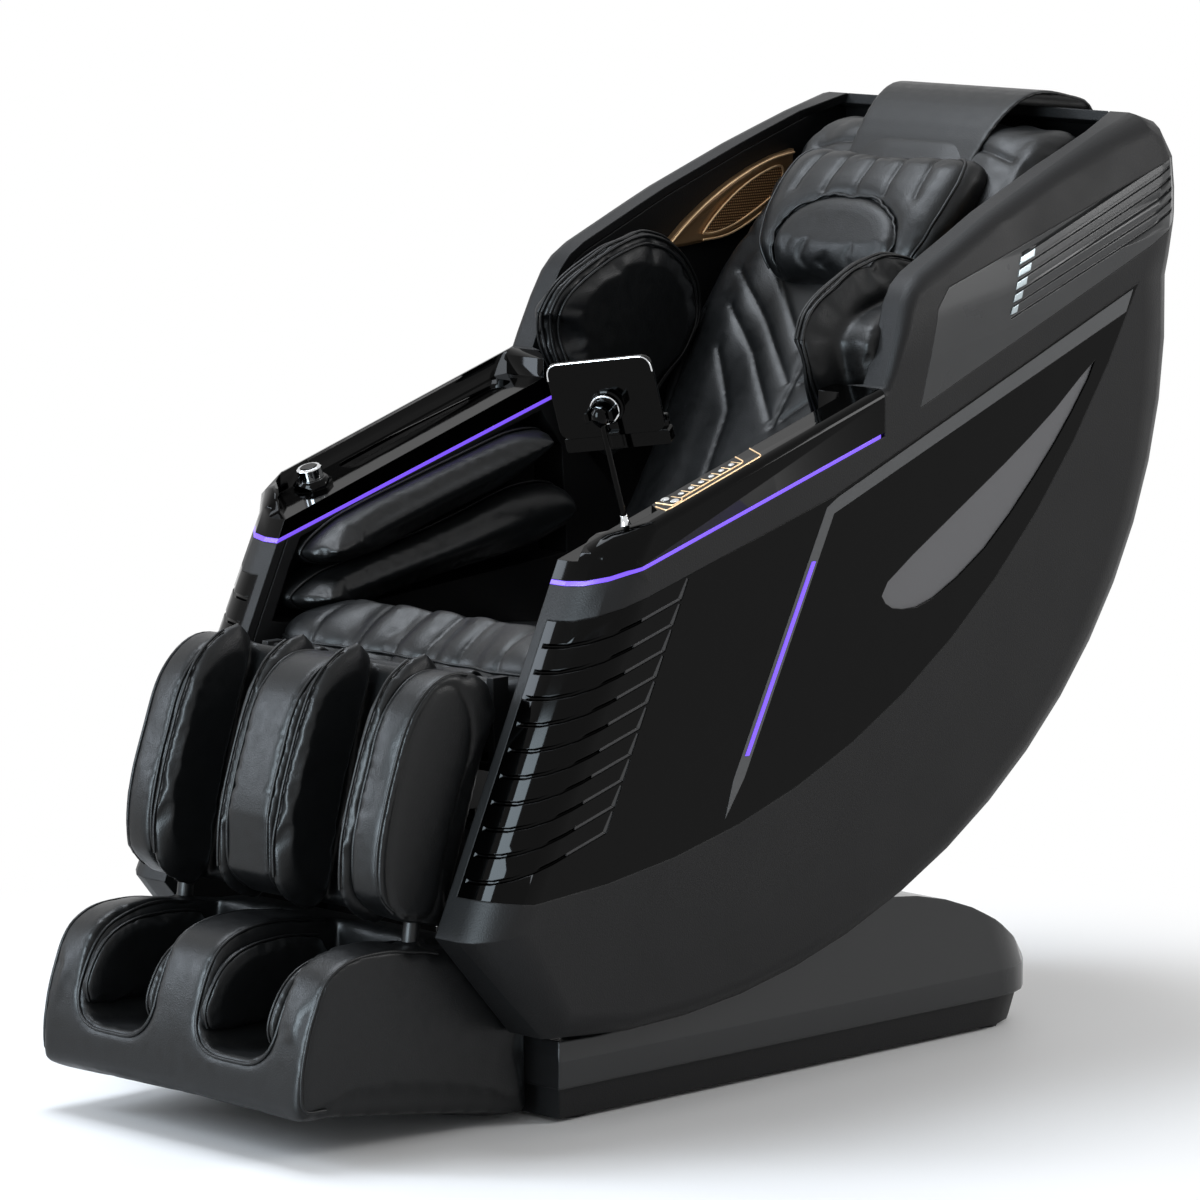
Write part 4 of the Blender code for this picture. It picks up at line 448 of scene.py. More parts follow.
# ------------------------------------------------------------------ speakers
# Leaf-shaped speaker covers: a bronze anodised frame round a punched aluminium insert, pressed into the wings.
def dense(run, pitch):
    """Points of a run, no further apart than the pitch."""
    points = [Vector(run[0])]
    for a, b in zip(run, run[1:]):
        a, b = Vector(a), Vector(b)
        steps = max(int((b - a).length / pitch), 1)
        points += [a.lerp(b, i / steps) for i in range(1, steps + 1)]
    return points


def piping(name, runs, radius, body, material, slot, closed=False, sides=2):
    """Round cord or bead along runs of points."""
    curve = bpy.data.curves.new(name, "CURVE")
    curve.dimensions = "3D"
    curve.bevel_depth = radius
    curve.bevel_resolution = sides
    curve.use_fill_caps = not closed
    for run in runs:
        points = [p for i, p in enumerate(run) if i == 0 or (p - run[i - 1]).length > 1e-4]
        if len(points) < 3:
            continue
        for _ in range(2):
            middle = [(a + b * 2 + c) / 4 for a, b, c in zip(points, points[1:], points[2:])]
            points = [points[0]] + middle + [points[-1]]
        if closed:
            points.pop()
        spline = curve.splines.new("POLY")
        spline.use_cyclic_u = closed
        spline.points.add(len(points) - 1)
        for spot, p in zip(spline.points, points):
            spot.co = (*p, 1.0)
    holder = bpy.data.objects.new("holder", curve)
    bpy.context.scene.collection.objects.link(holder)
    mesh = bpy.data.meshes.new_from_object(holder.evaluated_get(bpy.context.evaluated_depsgraph_get()))
    bpy.data.objects.remove(holder)
    mesh.shade_smooth()
    return link_piece(name, mesh, body, material, slot)


# Bronze anodised aluminium: a warm, brushed sheen.
bronze, tree, shader = start_material("bronze_anodised_aluminium", "#9a7a58", 0.36, Metallic=0.45)
moulded_grain(tree, shader, 0.0012, 0.10, 0.05)
finished(bronze, "speaker_left", "speaker_right")

# Punched aluminium: round holes 2.5 mm apart, drawn 4 mm apart so that they show.
punched, tree, shader = start_material("punched_bronze_aluminium", "#c08a5a", 0.35, Metallic=0.6)
place = add_node(tree, "ShaderNodeTexCoord")
flat = add_node(tree, "ShaderNodeMapping", {"Vector": place.outputs["Object"], "Scale": (0.0, 1.0, 1.0)})
holes = add_node(tree, "ShaderNodeTexVoronoi", {"Vector": flat.outputs[0], "Scale": 250.0, "Randomness": 0.0})
hole = add_node(tree, "ShaderNodeMapRange", {0: holes.outputs["Distance"], 1: 0.26, 2: 0.34, 3: 0.0, 4: 1.0})
tint = add_node(tree, "ShaderNodeMix", {"Factor": hole.outputs[0], "A": linear("#ffc58c"), "B": linear("#5b4029")},
                data_type="RGBA")
tree.links.new(tint.outputs["Result"], shader.inputs["Base Color"])
sink = add_node(tree, "ShaderNodeBump", {"Strength": 0.6, "Distance": 0.0008, "Height": hole.outputs[0]})
tree.links.new(sink.outputs[0], shader.inputs["Normal"])

# Gold anodised aluminium of the beads: thin bright lines.
gold, tree, shader = start_material("gold_anodised_aluminium", "#ffd9a8", 0.30, Metallic=0.55)
moulded_grain(tree, shader, 0.0015, 0.05, 0.04, 0.0004)

WING_INNER_X = 0.318
upper_line = [(0.688, 1.1730), (0.640, 1.1660), (0.590, 1.1480), (0.540, 1.1230), (0.490, 1.0880), (0.452, 1.0530)]
lower_line = [(0.520, 1.0560), (0.570, 1.0600), (0.625, 1.0810), (0.690, 1.1200)]
mesh_edge = [(0.520, 1.0660), (0.570, 1.0700), (0.620, 1.0900), (0.668, 1.1180), (0.674, 1.1400), (0.664, 1.1560),
             (0.620, 1.1440), (0.570, 1.1160)]
for side, s in (("left", 1), ("right", -1)):
    def on_wing(y, z, rise):
        spot = leaned(WING_INNER_X - rise, y, z)
        return Vector((spot.x * s, spot.y, spot.z))

    bm = cut_plate([on_wing(y, z, 0.0102) for y, z in through(mesh_edge, 4)[:-1]], (-0.0030 * s, 0, 0), 0.0006)
    bmesh.ops.triangulate(bm, faces=[f for f in bm.faces if len(f.verts) > 4])
    link_piece("speaker_insert_" + side, shaded(written(bm, "speaker_insert"), 40), "chair", punched, "bronze")
    lines = [[on_wing(y, z, 0.0142) for y, z in through(run, 5, closed=False)] for run in (upper_line, lower_line)]
    ring = [on_wing(y, z, 0.0134) for y, z in through(mesh_edge, 4)]
    piping("speaker_beads_" + side, lines + [ring], 0.0019, "chair", gold, "bronze")

# ------------------------------------------------------------------ knob and buttons
# Turned brass under bright chrome plating; the knob's press button is gloss black.
chrome, tree, shader = start_material("bright_chrome_plate", "#d4d6d8", 0.08, Metallic=1.0)
moulded_grain(tree, shader, 0.02, 0.02, 0.02, 0.0006)
finished(chrome, "control_knob", *["button_%d" % number for number in range(1, 9)], sharp=20)
finished(piano_black, "knob_button")


def spun(start, direction, profile, steps=32):
    """Turned shape: profile holds (distance along the axis, radius) and starts and ends on the axis."""
    axis = Vector(direction).normalized()
    turn = axis.to_track_quat("Z", "Y").to_matrix()
    bm = bmesh.new()
    verts = [bm.verts.new(Vector(start) + turn @ Vector((radius, 0, along))) for along, radius in profile]
    edges = [bm.edges.new(pair) for pair in zip(verts, verts[1:])]
    bmesh.ops.spin(bm, geom=verts + edges, cent=start, axis=axis, angle=2 * math.pi, steps=steps, use_merge=True)
    bmesh.ops.remove_doubles(bm, verts=bm.verts, dist=1e-6)
    bmesh.ops.recalc_face_normals(bm, faces=bm.faces)
    return shaded(written(bm, "turned"), 35)


CONSOLE_LEVEL, CONSOLE_RISE = 0.861, 0.320
CONSOLE_STEP = 0.026            # from the arm cap's top down to its lower level
CONSOLE_UP = Vector((0, -CONSOLE_RISE, 1)).normalized()


def on_console(x, y, height=0.0):
    """Point on the arm cap's top, or above it."""
    return at(x, y, CONSOLE_LEVEL + CONSOLE_RISE * y) + CONSOLE_UP * height


def on_step(x, y, height=0.0):
    """Point on the arm cap's lower level, or above it."""
    return on_console(x, y) - Vector((0, 0, CONSOLE_STEP)) + CONSOLE_UP * height


# Gold-anodised beads are inlaid round the buttons: an outer one, an inner one, and a divider between keys.
FIRST_KEY_Y, KEY_PITCH = -0.1555, 0.0184
outer_bead = [(0.3265, -0.1965), (0.3515, -0.2020), (0.3525, -0.1980), (0.3525, -0.0300), (0.3490, -0.0260),
              (0.3160, -0.0130)]
inner_bead = [(0.3165, -0.1865), (0.3475, -0.1875), (0.3490, -0.1850), (0.3490, -0.1710), (0.3415, -0.1640),
              (0.3415, -0.0520), (0.3400, -0.0490), (0.3165, -0.0400)]
beads = [dense([on_console(x, y, 0.0003) for x, y in run], 0.002) for run in (outer_bead, inner_bead)]
dividers = [dense([on_console(x, FIRST_KEY_Y + KEY_PITCH * (i + 0.5), 0.0002) for x in (0.3225, 0.3405)], 0.004)
            for i in range(-1, 6)]
piping("console_beads", beads, 0.0011, "chair", gold, "bronze")
piping("key_dividers", dividers, 0.0005, "chair", gold, "bronze")

# ------------------------------------------------------------------ phone holder
# A gloss black stem in a chromed foot, with a ball at the top in a collar on the back of the plate; the plate
# and its sliding clamp are gloss black ABS, and a plated strip edges the plate's top.
finished(piano_black, "phone_stem", "phone_cradle", "phone_clamp", sharp=40)
STEM_FOOT = on_step(0.313, -0.232, 0.0003)
STEM_LENGTH = 0.170
BALL = STEM_FOOT + CONSOLE_UP * STEM_LENGTH
link_piece("stem_foot", spun(STEM_FOOT, CONSOLE_UP, [(0.0001, 0.0), (0.0001, 0.0158), (0.0020, 0.0158),
           (0.0040, 0.0148), (0.0120, 0.0084), (0.0270, 0.0050), (0.0300, 0.0050), (0.0310, 0.0046),
           (0.0310, 0.0)]), "phone_stem", chrome, "chrome")
SWIVEL = math.radians(26.0)
HOLDER_ACROSS = Matrix.Rotation(SWIVEL, 3, CONSOLE_UP) @ Vector((1, 0, 0))
HOLDER_AWAY = HOLDER_ACROSS.cross(CONSOLE_UP)
link_piece("ball_collar", spun(BALL - HOLDER_AWAY * 0.030, HOLDER_AWAY, [(0.0, 0.0), (0.0, 0.0230),
           (0.0030, 0.0230), (0.0045, 0.0205), (0.0100, 0.0200), (0.0112, 0.0182), (0.0135, 0.0182),
           (0.0147, 0.0165), (0.0175, 0.0160), (0.0175, 0.0)]), "phone_cradle", piano_black, "gloss_black")
link_piece("collar_ring", spun(BALL - HOLDER_AWAY * 0.0195, HOLDER_AWAY, [(0.0, 0.0), (0.0, 0.0195),
           (0.0010, 0.0203), (0.0022, 0.0195), (0.0022, 0.0)]), "phone_cradle", chrome, "chrome")


def on_plate(x, z):
    """Point on the rim of the phone plate's back."""
    return BALL + HOLDER_ACROSS * x - HOLDER_AWAY * 0.0302 + CONSOLE_UP * z


rim = [on_plate(x, z) for x, z in ((0.0715, 0.042), (0.0712, 0.054), (0.068, 0.0605), (0.060, 0.0635),
                                   (-0.060, 0.0635), (-0.068, 0.0605), (-0.0712, 0.054), (-0.0715, 0.042))]
piping("plate_rim", [dense(rim, 0.004)], 0.0011, "phone_cradle", chrome, "chrome")


# ------------------------------------------------------------------ seat cushion
# Moulded foam under coated leather: a rolled front edge with upright seams, sewn over the front of the pan.
CLOTH_FRAMES = 20


def swollen(mesh, pressure, cap, low, high):
    """Foam pushes the cover out: cloth under pressure, no vertex further than cap or outside low and high."""
    rest = [v.co.copy() for v in mesh.vertices]
    scene = bpy.context.scene
    holder = bpy.data.objects.new("holder", mesh)
    scene.collection.objects.link(holder)
    cloth = holder.modifiers.new("cloth", "CLOTH")
    cloth.settings.quality = 4
    cloth.settings.use_pressure = True
    cloth.settings.uniform_pressure_force = pressure
    cloth.settings.effector_weights.gravity = 0.0
    cloth.point_cache.frame_start = 1
    cloth.point_cache.frame_end = CLOTH_FRAMES
    for number in range(1, CLOTH_FRAMES + 1):
        scene.frame_set(number)
    shape = holder.evaluated_get(bpy.context.evaluated_depsgraph_get()).to_mesh()
    for vertex, moved, start in zip(mesh.vertices, shape.vertices, rest):
        step = moved.co - start
        if step.length > cap:
            step *= cap / step.length
        spot = start + step
        vertex.co = [min(max(c, a), b) for c, a, b in zip(spot, low, high)]
    bpy.data.objects.remove(holder)
    scene.frame_set(1)
    return mesh


def upholstered(node, voxel, smoothing, cap, spare=(0, 0, 0), pressure=4.0, source=None):
    """Soft piece in a CAD node's place: rounded, swollen, then smoothed once more and subdivided."""
    low, high = (Vector(corner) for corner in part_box(node))
    low -= Vector(spare)
    high += Vector(spare)
    bm = source or joined(node)
    mesh = written(bm, "soft")
    mesh = modified(mesh, "REMESH", mode="VOXEL", voxel_size=voxel)
    bm = bmesh.new()
    bm.from_mesh(mesh)
    for _ in range(smoothing):
        bmesh.ops.smooth_vert(bm, verts=bm.verts, factor=0.5, use_axis_x=True, use_axis_y=True, use_axis_z=True)
    bm.to_mesh(mesh)
    bm.free()
    mesh = swollen(mesh, pressure, cap, low, high)
    mesh = modified(mesh, "SUBSURF", levels=1, render_levels=1)
    mesh.shade_smooth()
    return mesh


def surface_of(mesh):
    """Search tree of a mesh."""
    bm = bmesh.new()
    bm.from_mesh(mesh)
    tree = BVHTree.FromBMesh(bm)
    bm.free()
    return tree


# How far the painted shade along a seam reaches.
SEAM_SHADE = 0.0035             # the leather is darker this far from a seam


def sewn(mesh, runs, depth, width):
    """Draws the cover in along seams: a sharp crease at the seam that rises again over the width, and a mark for
    painted shade along it.
    """
    points = [p for run in runs for p in dense(run, 0.003)]
    near = KDTree(len(points))
    for i, p in enumerate(points):
        near.insert(p, i)
    near.balance()
    inwards = [-vertex.normal for vertex in mesh.vertices]
    # Painted shade: each vertex near a seam gets a mark, 1 at the seam and 0 at SEAM_SHADE away, which darkens the
    # leather's colour there.
    seam_shade_layer = mesh.attributes.get("seam") or mesh.attributes.new("seam", "FLOAT", "POINT")
    for vertex, inward, shade_mark in zip(mesh.vertices, inwards, seam_shade_layer.data):
        _, _, distance = near.find(vertex.co)
        if distance < 4 * width:
            vertex.co += inward * depth * math.exp(-distance / width)
            shade_mark.value = max(shade_mark.value, 1.0 - distance / SEAM_SHADE)
    mesh.update()


def laid_on(tree, run, lift=0.0):
    """Run of points dropped onto the nearest surface and lifted off it."""
    result = []
    for p in dense(run, 0.008):
        spot, normal, _, _ = tree.find_nearest(p)
        result.append(spot + normal * lift)
    return result


def struck(tree, start, direction):
    """Where a straight line first meets the surface, or None."""
    spot, _, _, _ = tree.ray_cast(Vector(start), Vector(direction).normalized())
    return spot


# Coated leather: black with a soft sheen, pebbled grain and fine creases, and painted shade where a seam draws it in;
# the grain is 1 mm, drawn at 2 mm.
leather, tree, shader = start_material("coated_leather", "#0d0e0f", 0.38, Specular_IOR_Level=0.24)
place = add_node(tree, "ShaderNodeTexCoord")
pebbles = add_node(tree, "ShaderNodeTexVoronoi", {"Vector": place.outputs["Object"], "Scale": 1 / 0.0020})
creases = add_node(tree, "ShaderNodeTexNoise", {"Vector": place.outputs["Object"], "Scale": 60.0, "Detail": 4.0})
height = add_node(tree, "ShaderNodeMath", {0: pebbles.outputs["Distance"], 1: creases.outputs[0]}, operation="ADD")
bump = add_node(tree, "ShaderNodeBump", {"Strength": 0.20, "Distance": 0.0007, "Height": height.outputs[0]})
tree.links.new(bump.outputs[0], shader.inputs["Normal"])
gloss = add_node(tree, "ShaderNodeMapRange", {0: creases.outputs[0], 1: 0.3, 2: 0.7, 3: 0.35, 4: 0.45})
tree.links.new(gloss.outputs[0], shader.inputs["Roughness"])
# Painted shade along the seams: the colour goes towards near black by the seam mark.
seam = add_node(tree, "ShaderNodeAttribute", attribute_name="seam")
tint = add_node(tree, "ShaderNodeMix", {"Factor": seam.outputs["Fac"], "A": linear("#0d0e0f"), "B": linear("#040404")},
                data_type="RGBA")
tree.links.new(tint.outputs["Result"], shader.inputs["Base Color"])

SEAT_CENTRE = at(0, -0.180, 0.480)


def round_front(tree, x, centre, start, end, steps):
    """Points of a cushion's side view at x, found by lines towards a centre; angles go up from the front."""
    run = []
    for i in range(steps + 1):
        a = math.radians(start + (end - start) * i / steps)
        out = Vector((0, -math.cos(a), math.sin(a)))
        spot = struck(tree, Vector((x, centre[1], centre[2])) + out * 0.6, -out)
        if spot:
            run.append(spot)
    return run


seat_mesh = upholstered("seat_cushion", 0.007, 18, 0.018, (0, 0, 0.012))
tree = surface_of(seat_mesh)
seat_seams = [round_front(tree, s * x, SEAT_CENTRE, 12, 84, 14) for x in (0.030, 0.098, 0.180) for s in (1, -1)]
across = [-0.25 + 0.02 * i for i in range(26)]
cross_seam = [p for p in (struck(tree, at(x, -0.235, 0.9), (0, 0, -1)) for x in across) if p]
front_seam = [p for p in (struck(tree, at(x, -0.9, 0.583), (0, 1, 0)) for x in across) if p]
sewn(seat_mesh, seat_seams, 0.0040, 0.005)
sewn(seat_mesh, [cross_seam, front_seam], 0.0045, 0.006)
seat = link_piece("seat_leather", seat_mesh, "chair", leather, "leather", "seat_cushion")
tree = surface_of(seat_mesh)
piping("seat_piping", [laid_on(tree, front_seam, 0.0010)], 0.0020, "chair", leather, "leather")

# ------------------------------------------------------------------ back cushion
# One long foam pad under leather, drawn in by seams that run down to the middle of the waist.
BACK_FOOT = (0.170, 0.540)
BACK_SLOPE = math.radians(36.7)
BACK_OUT = Vector((0, -math.cos(BACK_SLOPE), math.sin(BACK_SLOPE)))


def before_back(x, along, off=0.25):
    """Point in front of the back, at a distance along its front line."""
    y = BACK_FOOT[0] + math.sin(BACK_SLOPE) * along
    z = BACK_FOOT[1] + math.cos(BACK_SLOPE) * along
    return at(x, y, z) + BACK_OUT * off


def on_back(tree, run):
    """Run of (x, along) pairs dropped onto the back's front."""
    spots = []
    for a, b in zip(run, run[1:]):
        for i in range(5):
            t = i / 4
            spots.append(struck(tree, before_back(a[0] + (b[0] - a[0]) * t, a[1] + (b[1] - a[1]) * t), -BACK_OUT))
    return [p for p in spots if p]


back_mesh = upholstered("back_cushion", 0.0075, 14, 0.016, (0, 0, 0))
tree = surface_of(back_mesh)
back_runs = []
for s in (1, -1):
    back_runs += [[(s * 0.192, 0.525), (s * 0.105, 0.452), (s * 0.012, 0.352)],
                  [(s * 0.209, 0.584), (s * 0.110, 0.505), (s * 0.012, 0.412)],
                  [(s * 0.227, 0.703), (s * 0.150, 0.600), (s * 0.020, 0.470)],
                  [(s * 0.175, 0.455), (s * 0.100, 0.360), (s * 0.070, 0.200), (s * 0.070, 0.020)],
                  [(s * 0.245, 0.520), (s * 0.215, 0.300), (s * 0.205, 0.020)]]
back_runs.append([(0.0, 0.560), (0.0, 0.340)])
back_runs.append([(-0.185, 0.800), (-0.075, 0.826), (0.075, 0.826), (0.185, 0.800)])
back_seams = [on_back(tree, run) for run in back_runs]
sewn(back_mesh, back_seams, 0.0055, 0.0055)
back = link_piece("back_leather", back_mesh, "chair", leather, "leather", "back_cushion")

# A moulded strip closes the slot between the seat's rear edge and the foot of the back.
SLOT_HALF = 0.250
bm = cut_plate([at(-SLOT_HALF, 0.1506, 0.512), at(SLOT_HALF, 0.1506, 0.512), at(SLOT_HALF, 0.208, 0.510),
                at(-SLOT_HALF, 0.208, 0.510)], (0, 0, -0.003), 0.0008)
link_piece("slot_strip", shaded(written(bm, "slot_strip"), 40), "chair", matte_abs, "matte_black")

# ------------------------------------------------------------------ head pillow
# Fibre-filled pillow over an arched neck pad, edged with piping and strapped over the top of the back.
PILLOW_BACK = 0.0135            # its rear face, before the back's front line
PILLOW_THICKNESS = 0.066        # of the plain form that the front's shape is drawn from
PILLOW_HALF = 0.178
PILLOW_EDGE = [(0.100, 0.562), (0.132, 0.570), (0.160, 0.602), (0.174, 0.650), (0.178, 0.700), (0.178, 0.745),
               (0.170, 0.774), (0.150, 0.784)]
PILLOW_FRONT = [(0.560, 0.060), (0.600, 0.080), (0.660, 0.082), (0.710, 0.078), (0.750, 0.070), (0.785, 0.056)]
edge = PILLOW_EDGE + [(-x, along) for x, along in reversed(PILLOW_EDGE)]
pillow_bm = cut_plate([before_back(x, along, PILLOW_BACK) for x, along in edge], BACK_OUT * PILLOW_THICKNESS, 0.030)
bmesh.ops.subdivide_edges(pillow_bm, edges=pillow_bm.edges[:], cuts=3, use_grid_fill=True)
pillow_foot = before_back(0, 0, 0)
pillow_up = Vector((0, math.sin(BACK_SLOPE), math.cos(BACK_SLOPE)))
pillow_plain = modified(written(pillow_bm, "pillow"), "REMESH", mode="VOXEL", voxel_size=0.006)
for vertex in pillow_plain.vertices:
    along = (vertex.co - pillow_foot).dot(pillow_up)
    depth = (vertex.co - pillow_foot).dot(BACK_OUT) - PILLOW_BACK
    spans = [(a, b) for a, b in zip(PILLOW_FRONT, PILLOW_FRONT[1:]) if along <= b[0]] or [PILLOW_FRONT[-2:]]
    (low_s, low_d), (high_s, high_d) = spans[0]
    front = low_d + (high_d - low_d) * min(max((along - low_s) / (high_s - low_s), 0.0), 1.0)
    crown = 1.0 - 0.10 * (vertex.co.x / PILLOW_HALF) ** 2
    vertex.co += BACK_OUT * depth * ((front - PILLOW_BACK) * crown / PILLOW_THICKNESS - 1.0)
pillow_bm = bmesh.new()
pillow_bm.from_mesh(pillow_plain)
pillow_mesh = upholstered("head_pillow", 0.0055, 4, 0.008, (0, 0.004, 0.004), source=pillow_bm)
tree = surface_of(pillow_mesh)
pillow_seams = [on_back(tree, [(x, 0.782), (x * 1.1, 0.735), (x * 1.15, 0.690)])
                for x in (0, 0.05, -0.05, 0.10, -0.10)]
arch = through([(-0.110, 0.568), (-0.114, 0.610), (-0.098, 0.650), (-0.055, 0.678), (0.0, 0.686), (0.055, 0.678),
                (0.098, 0.650), (0.114, 0.610), (0.110, 0.568)], 3, closed=False)
pillow_rim = through([(-0.130, 0.575), (-0.152, 0.620), (-0.163, 0.690), (-0.158, 0.750), (-0.135, 0.775),
                      (-0.070, 0.781), (0.0, 0.782), (0.070, 0.781), (0.135, 0.775), (0.158, 0.750),
                      (0.163, 0.690), (0.152, 0.620), (0.130, 0.575)], 3, closed=False)
arch_seam = on_back(tree, arch)
rim_seam = on_back(tree, pillow_rim)
sewn(pillow_mesh, pillow_seams, 0.0050, 0.0050)
sewn(pillow_mesh, [arch_seam], 0.0100, 0.0070)
sewn(pillow_mesh, [rim_seam], 0.0030, 0.0060)
pillow = link_piece("pillow_leather", pillow_mesh, "chair", leather, "leather", "head_pillow")
tree = surface_of(pillow_mesh)
piping("pillow_piping", [laid_on(tree, arch_seam, 0.0010), laid_on(tree, rim_seam, 0.0010)], 0.0024, "chair",
       leather, "leather")

# ------------------------------------------------------------------ head flap
# A stitched leather flap that hangs over the top of the back and holds the pillow's strap.
bm = joined("head_flap")
bmesh.ops.subdivide_edges(bm, edges=bm.edges[:], cuts=1, use_grid_fill=True)
flap_mesh = modified(written(bm, "flap"), "REMESH", mode="VOXEL", voxel_size=0.0022)
flap_mesh.shade_smooth()
bm = bmesh.new()
bm.from_mesh(flap_mesh)
for _ in range(14):
    bmesh.ops.smooth_vert(bm, verts=bm.verts, factor=0.5, use_axis_x=True, use_axis_y=True, use_axis_z=True)
bm.to_mesh(flap_mesh)
bm.free()
flap = link_piece("flap_leather", flap_mesh, "chair", leather, "leather", "head_flap")

# ------------------------------------------------------------------ shoulder and arm airbags
# Air cushions sewn from leather, screwed to the wings and to the forearm recesses; one side is shaped and
# the other is its mirror image.
def flipped(runs):
    """Mirror image of runs of points."""
    return [[Vector((-p.x, p.y, p.z)) for p in run] for run in runs]


shoulder_mesh = upholstered("shoulder_airbag_left", 0.005, 12, 0.010, (0.008, 0.004, 0.004))
tree = surface_of(shoulder_mesh)
shoulder_edge = through([(0.142, 0.985), (0.205, 1.050), (0.325, 1.092), (0.425, 1.050), (0.462, 0.960),
                         (0.382, 0.850), (0.280, 0.765), (0.187, 0.860)], 6)
middle = (0.305, 0.935)
shoulder_runs = []
for x, share in ((0.262, 1.0), (0.248, 0.985), (0.236, 0.930), (0.228, 0.860)):
    run = [leaned(x, middle[0] + (y - middle[0]) * share, middle[1] + (z - middle[1]) * share)
           for y, z in shoulder_edge]
    shoulder_runs.append(laid_on(tree, run, 0.0010))
sewn(shoulder_mesh, shoulder_runs, 0.003, 0.004)
for side, mesh, runs in (("left", shoulder_mesh, shoulder_runs),
                         ("right", other_side(shoulder_mesh), flipped(shoulder_runs))):
    pad = link_piece("shoulder_leather_" + side, mesh, "chair", leather, "leather", "shoulder_airbag_" + side)
    piping("shoulder_piping_" + side, runs, 0.0022, "chair", leather, "leather")

ARM_PADS = {"upper": [(-0.292, 0.684), (-0.240, 0.720), (0.000, 0.788), (0.140, 0.822), (0.165, 0.805),
                      (0.100, 0.765), (-0.060, 0.715), (-0.220, 0.672)],
            "lower": [(-0.318, 0.628), (-0.270, 0.652), (-0.060, 0.695), (0.120, 0.744), (0.190, 0.735),
                      (0.180, 0.680), (-0.020, 0.648), (-0.250, 0.612)]}
for level, outline in ARM_PADS.items():
    arm_mesh = upholstered("arm_airbag_%s_left" % level, 0.005, 8, 0.008, (0.006, 0, 0))
    tree = surface_of(arm_mesh)
    low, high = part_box("arm_airbag_%s_left" % level)
    run = laid_on(tree, [at(low.x + 0.45 * (high.x - low.x), y, z) for y, z in through(outline, 5)], 0.0008)
    sewn(arm_mesh, [run], 0.003, 0.006)
    for side, mesh, runs in (("left", arm_mesh, [run]), ("right", other_side(arm_mesh), flipped([run]))):
        pad = link_piece("arm_leather_%s_%s" % (level, side), mesh, "chair", leather, "leather",
                         "arm_airbag_%s_%s" % (level, side))
        piping("arm_piping_%s_%s" % (level, side), runs, 0.0020, "chair", leather, "leather")

# ------------------------------------------------------------------ leg rest
# A steel-cored foam block under leather with three walls and two calf wells, piped along both edges of
# each front band; air cushions line the wells.
LEG_CENTRE = at(0, -0.470, 0.440)
calf_mesh = upholstered("calf_frame", 0.006, 3, 0.005, (0, 0, 0))
tree = surface_of(calf_mesh)
calf_runs = [round_front(tree, x, LEG_CENTRE, 96, -50, 34) for x in (-0.243, -0.196, -0.039, 0.039, 0.196, 0.243)]
side_panel = through([(-0.510, 0.585), (-0.560, 0.520), (-0.585, 0.440), (-0.598, 0.370), (-0.590, 0.315),
                      (-0.560, 0.290), (-0.520, 0.300), (-0.480, 0.420), (-0.450, 0.520), (-0.470, 0.580)], 4)
side_runs = [laid_on(tree, [at(s * 0.262, y, z) for y, z in side_panel], 0.0) for s in (1, -1)]
sewn(calf_mesh, calf_runs, 0.0025, 0.004)
sewn(calf_mesh, side_runs, 0.0035, 0.005)
calf = link_piece("calf_leather", calf_mesh, "legrest", leather, "leather", "calf_frame")
tree = surface_of(calf_mesh)
piping("calf_piping", [laid_on(tree, run, 0.0010) for run in calf_runs], 0.0024, "legrest", leather, "leather")

well_mesh = upholstered("calf_airbag_4", 0.005, 6, 0.007, (0.003, 0.004, 0.004))
tree = surface_of(well_mesh)
low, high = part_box("calf_airbag_4")
well_edge = through([(-0.485, 0.612), (-0.520, 0.608), (-0.562, 0.568), (-0.598, 0.480), (-0.621, 0.398),
                     (-0.618, 0.330)], 5, closed=False)
well_run = laid_on(tree, [at(low.x + 0.55 * (high.x - low.x), y - 0.01, z) for y, z in well_edge], 0.0008)
sewn(well_mesh, [well_run], 0.003, 0.006)
shift = Vector((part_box("calf_airbag_3")[0].x + high.x, 0, 0))


def moved_to(mesh, runs, step, mirror):
    """Copy of a pad and its piping runs, mirrored or not, then moved sideways."""
    copy = other_side(mesh) if mirror else mesh.copy()
    for vertex in copy.vertices:
        vertex.co += step
    lines = flipped(runs) if mirror else runs
    return copy, [[p + step for p in run] for run in lines]


for number, step, mirror in ((4, Vector(), False), (1, Vector(), True), (3, shift, True), (2, -shift, False)):
    mesh, runs = moved_to(well_mesh, [well_run], step, mirror)
    pad = link_piece("calf_pad_%d" % number, mesh, "legrest", leather, "leather", "calf_airbag_%d" % number)
    piping("calf_pad_piping_%d" % number, runs, 0.0020, "legrest", leather, "leather")

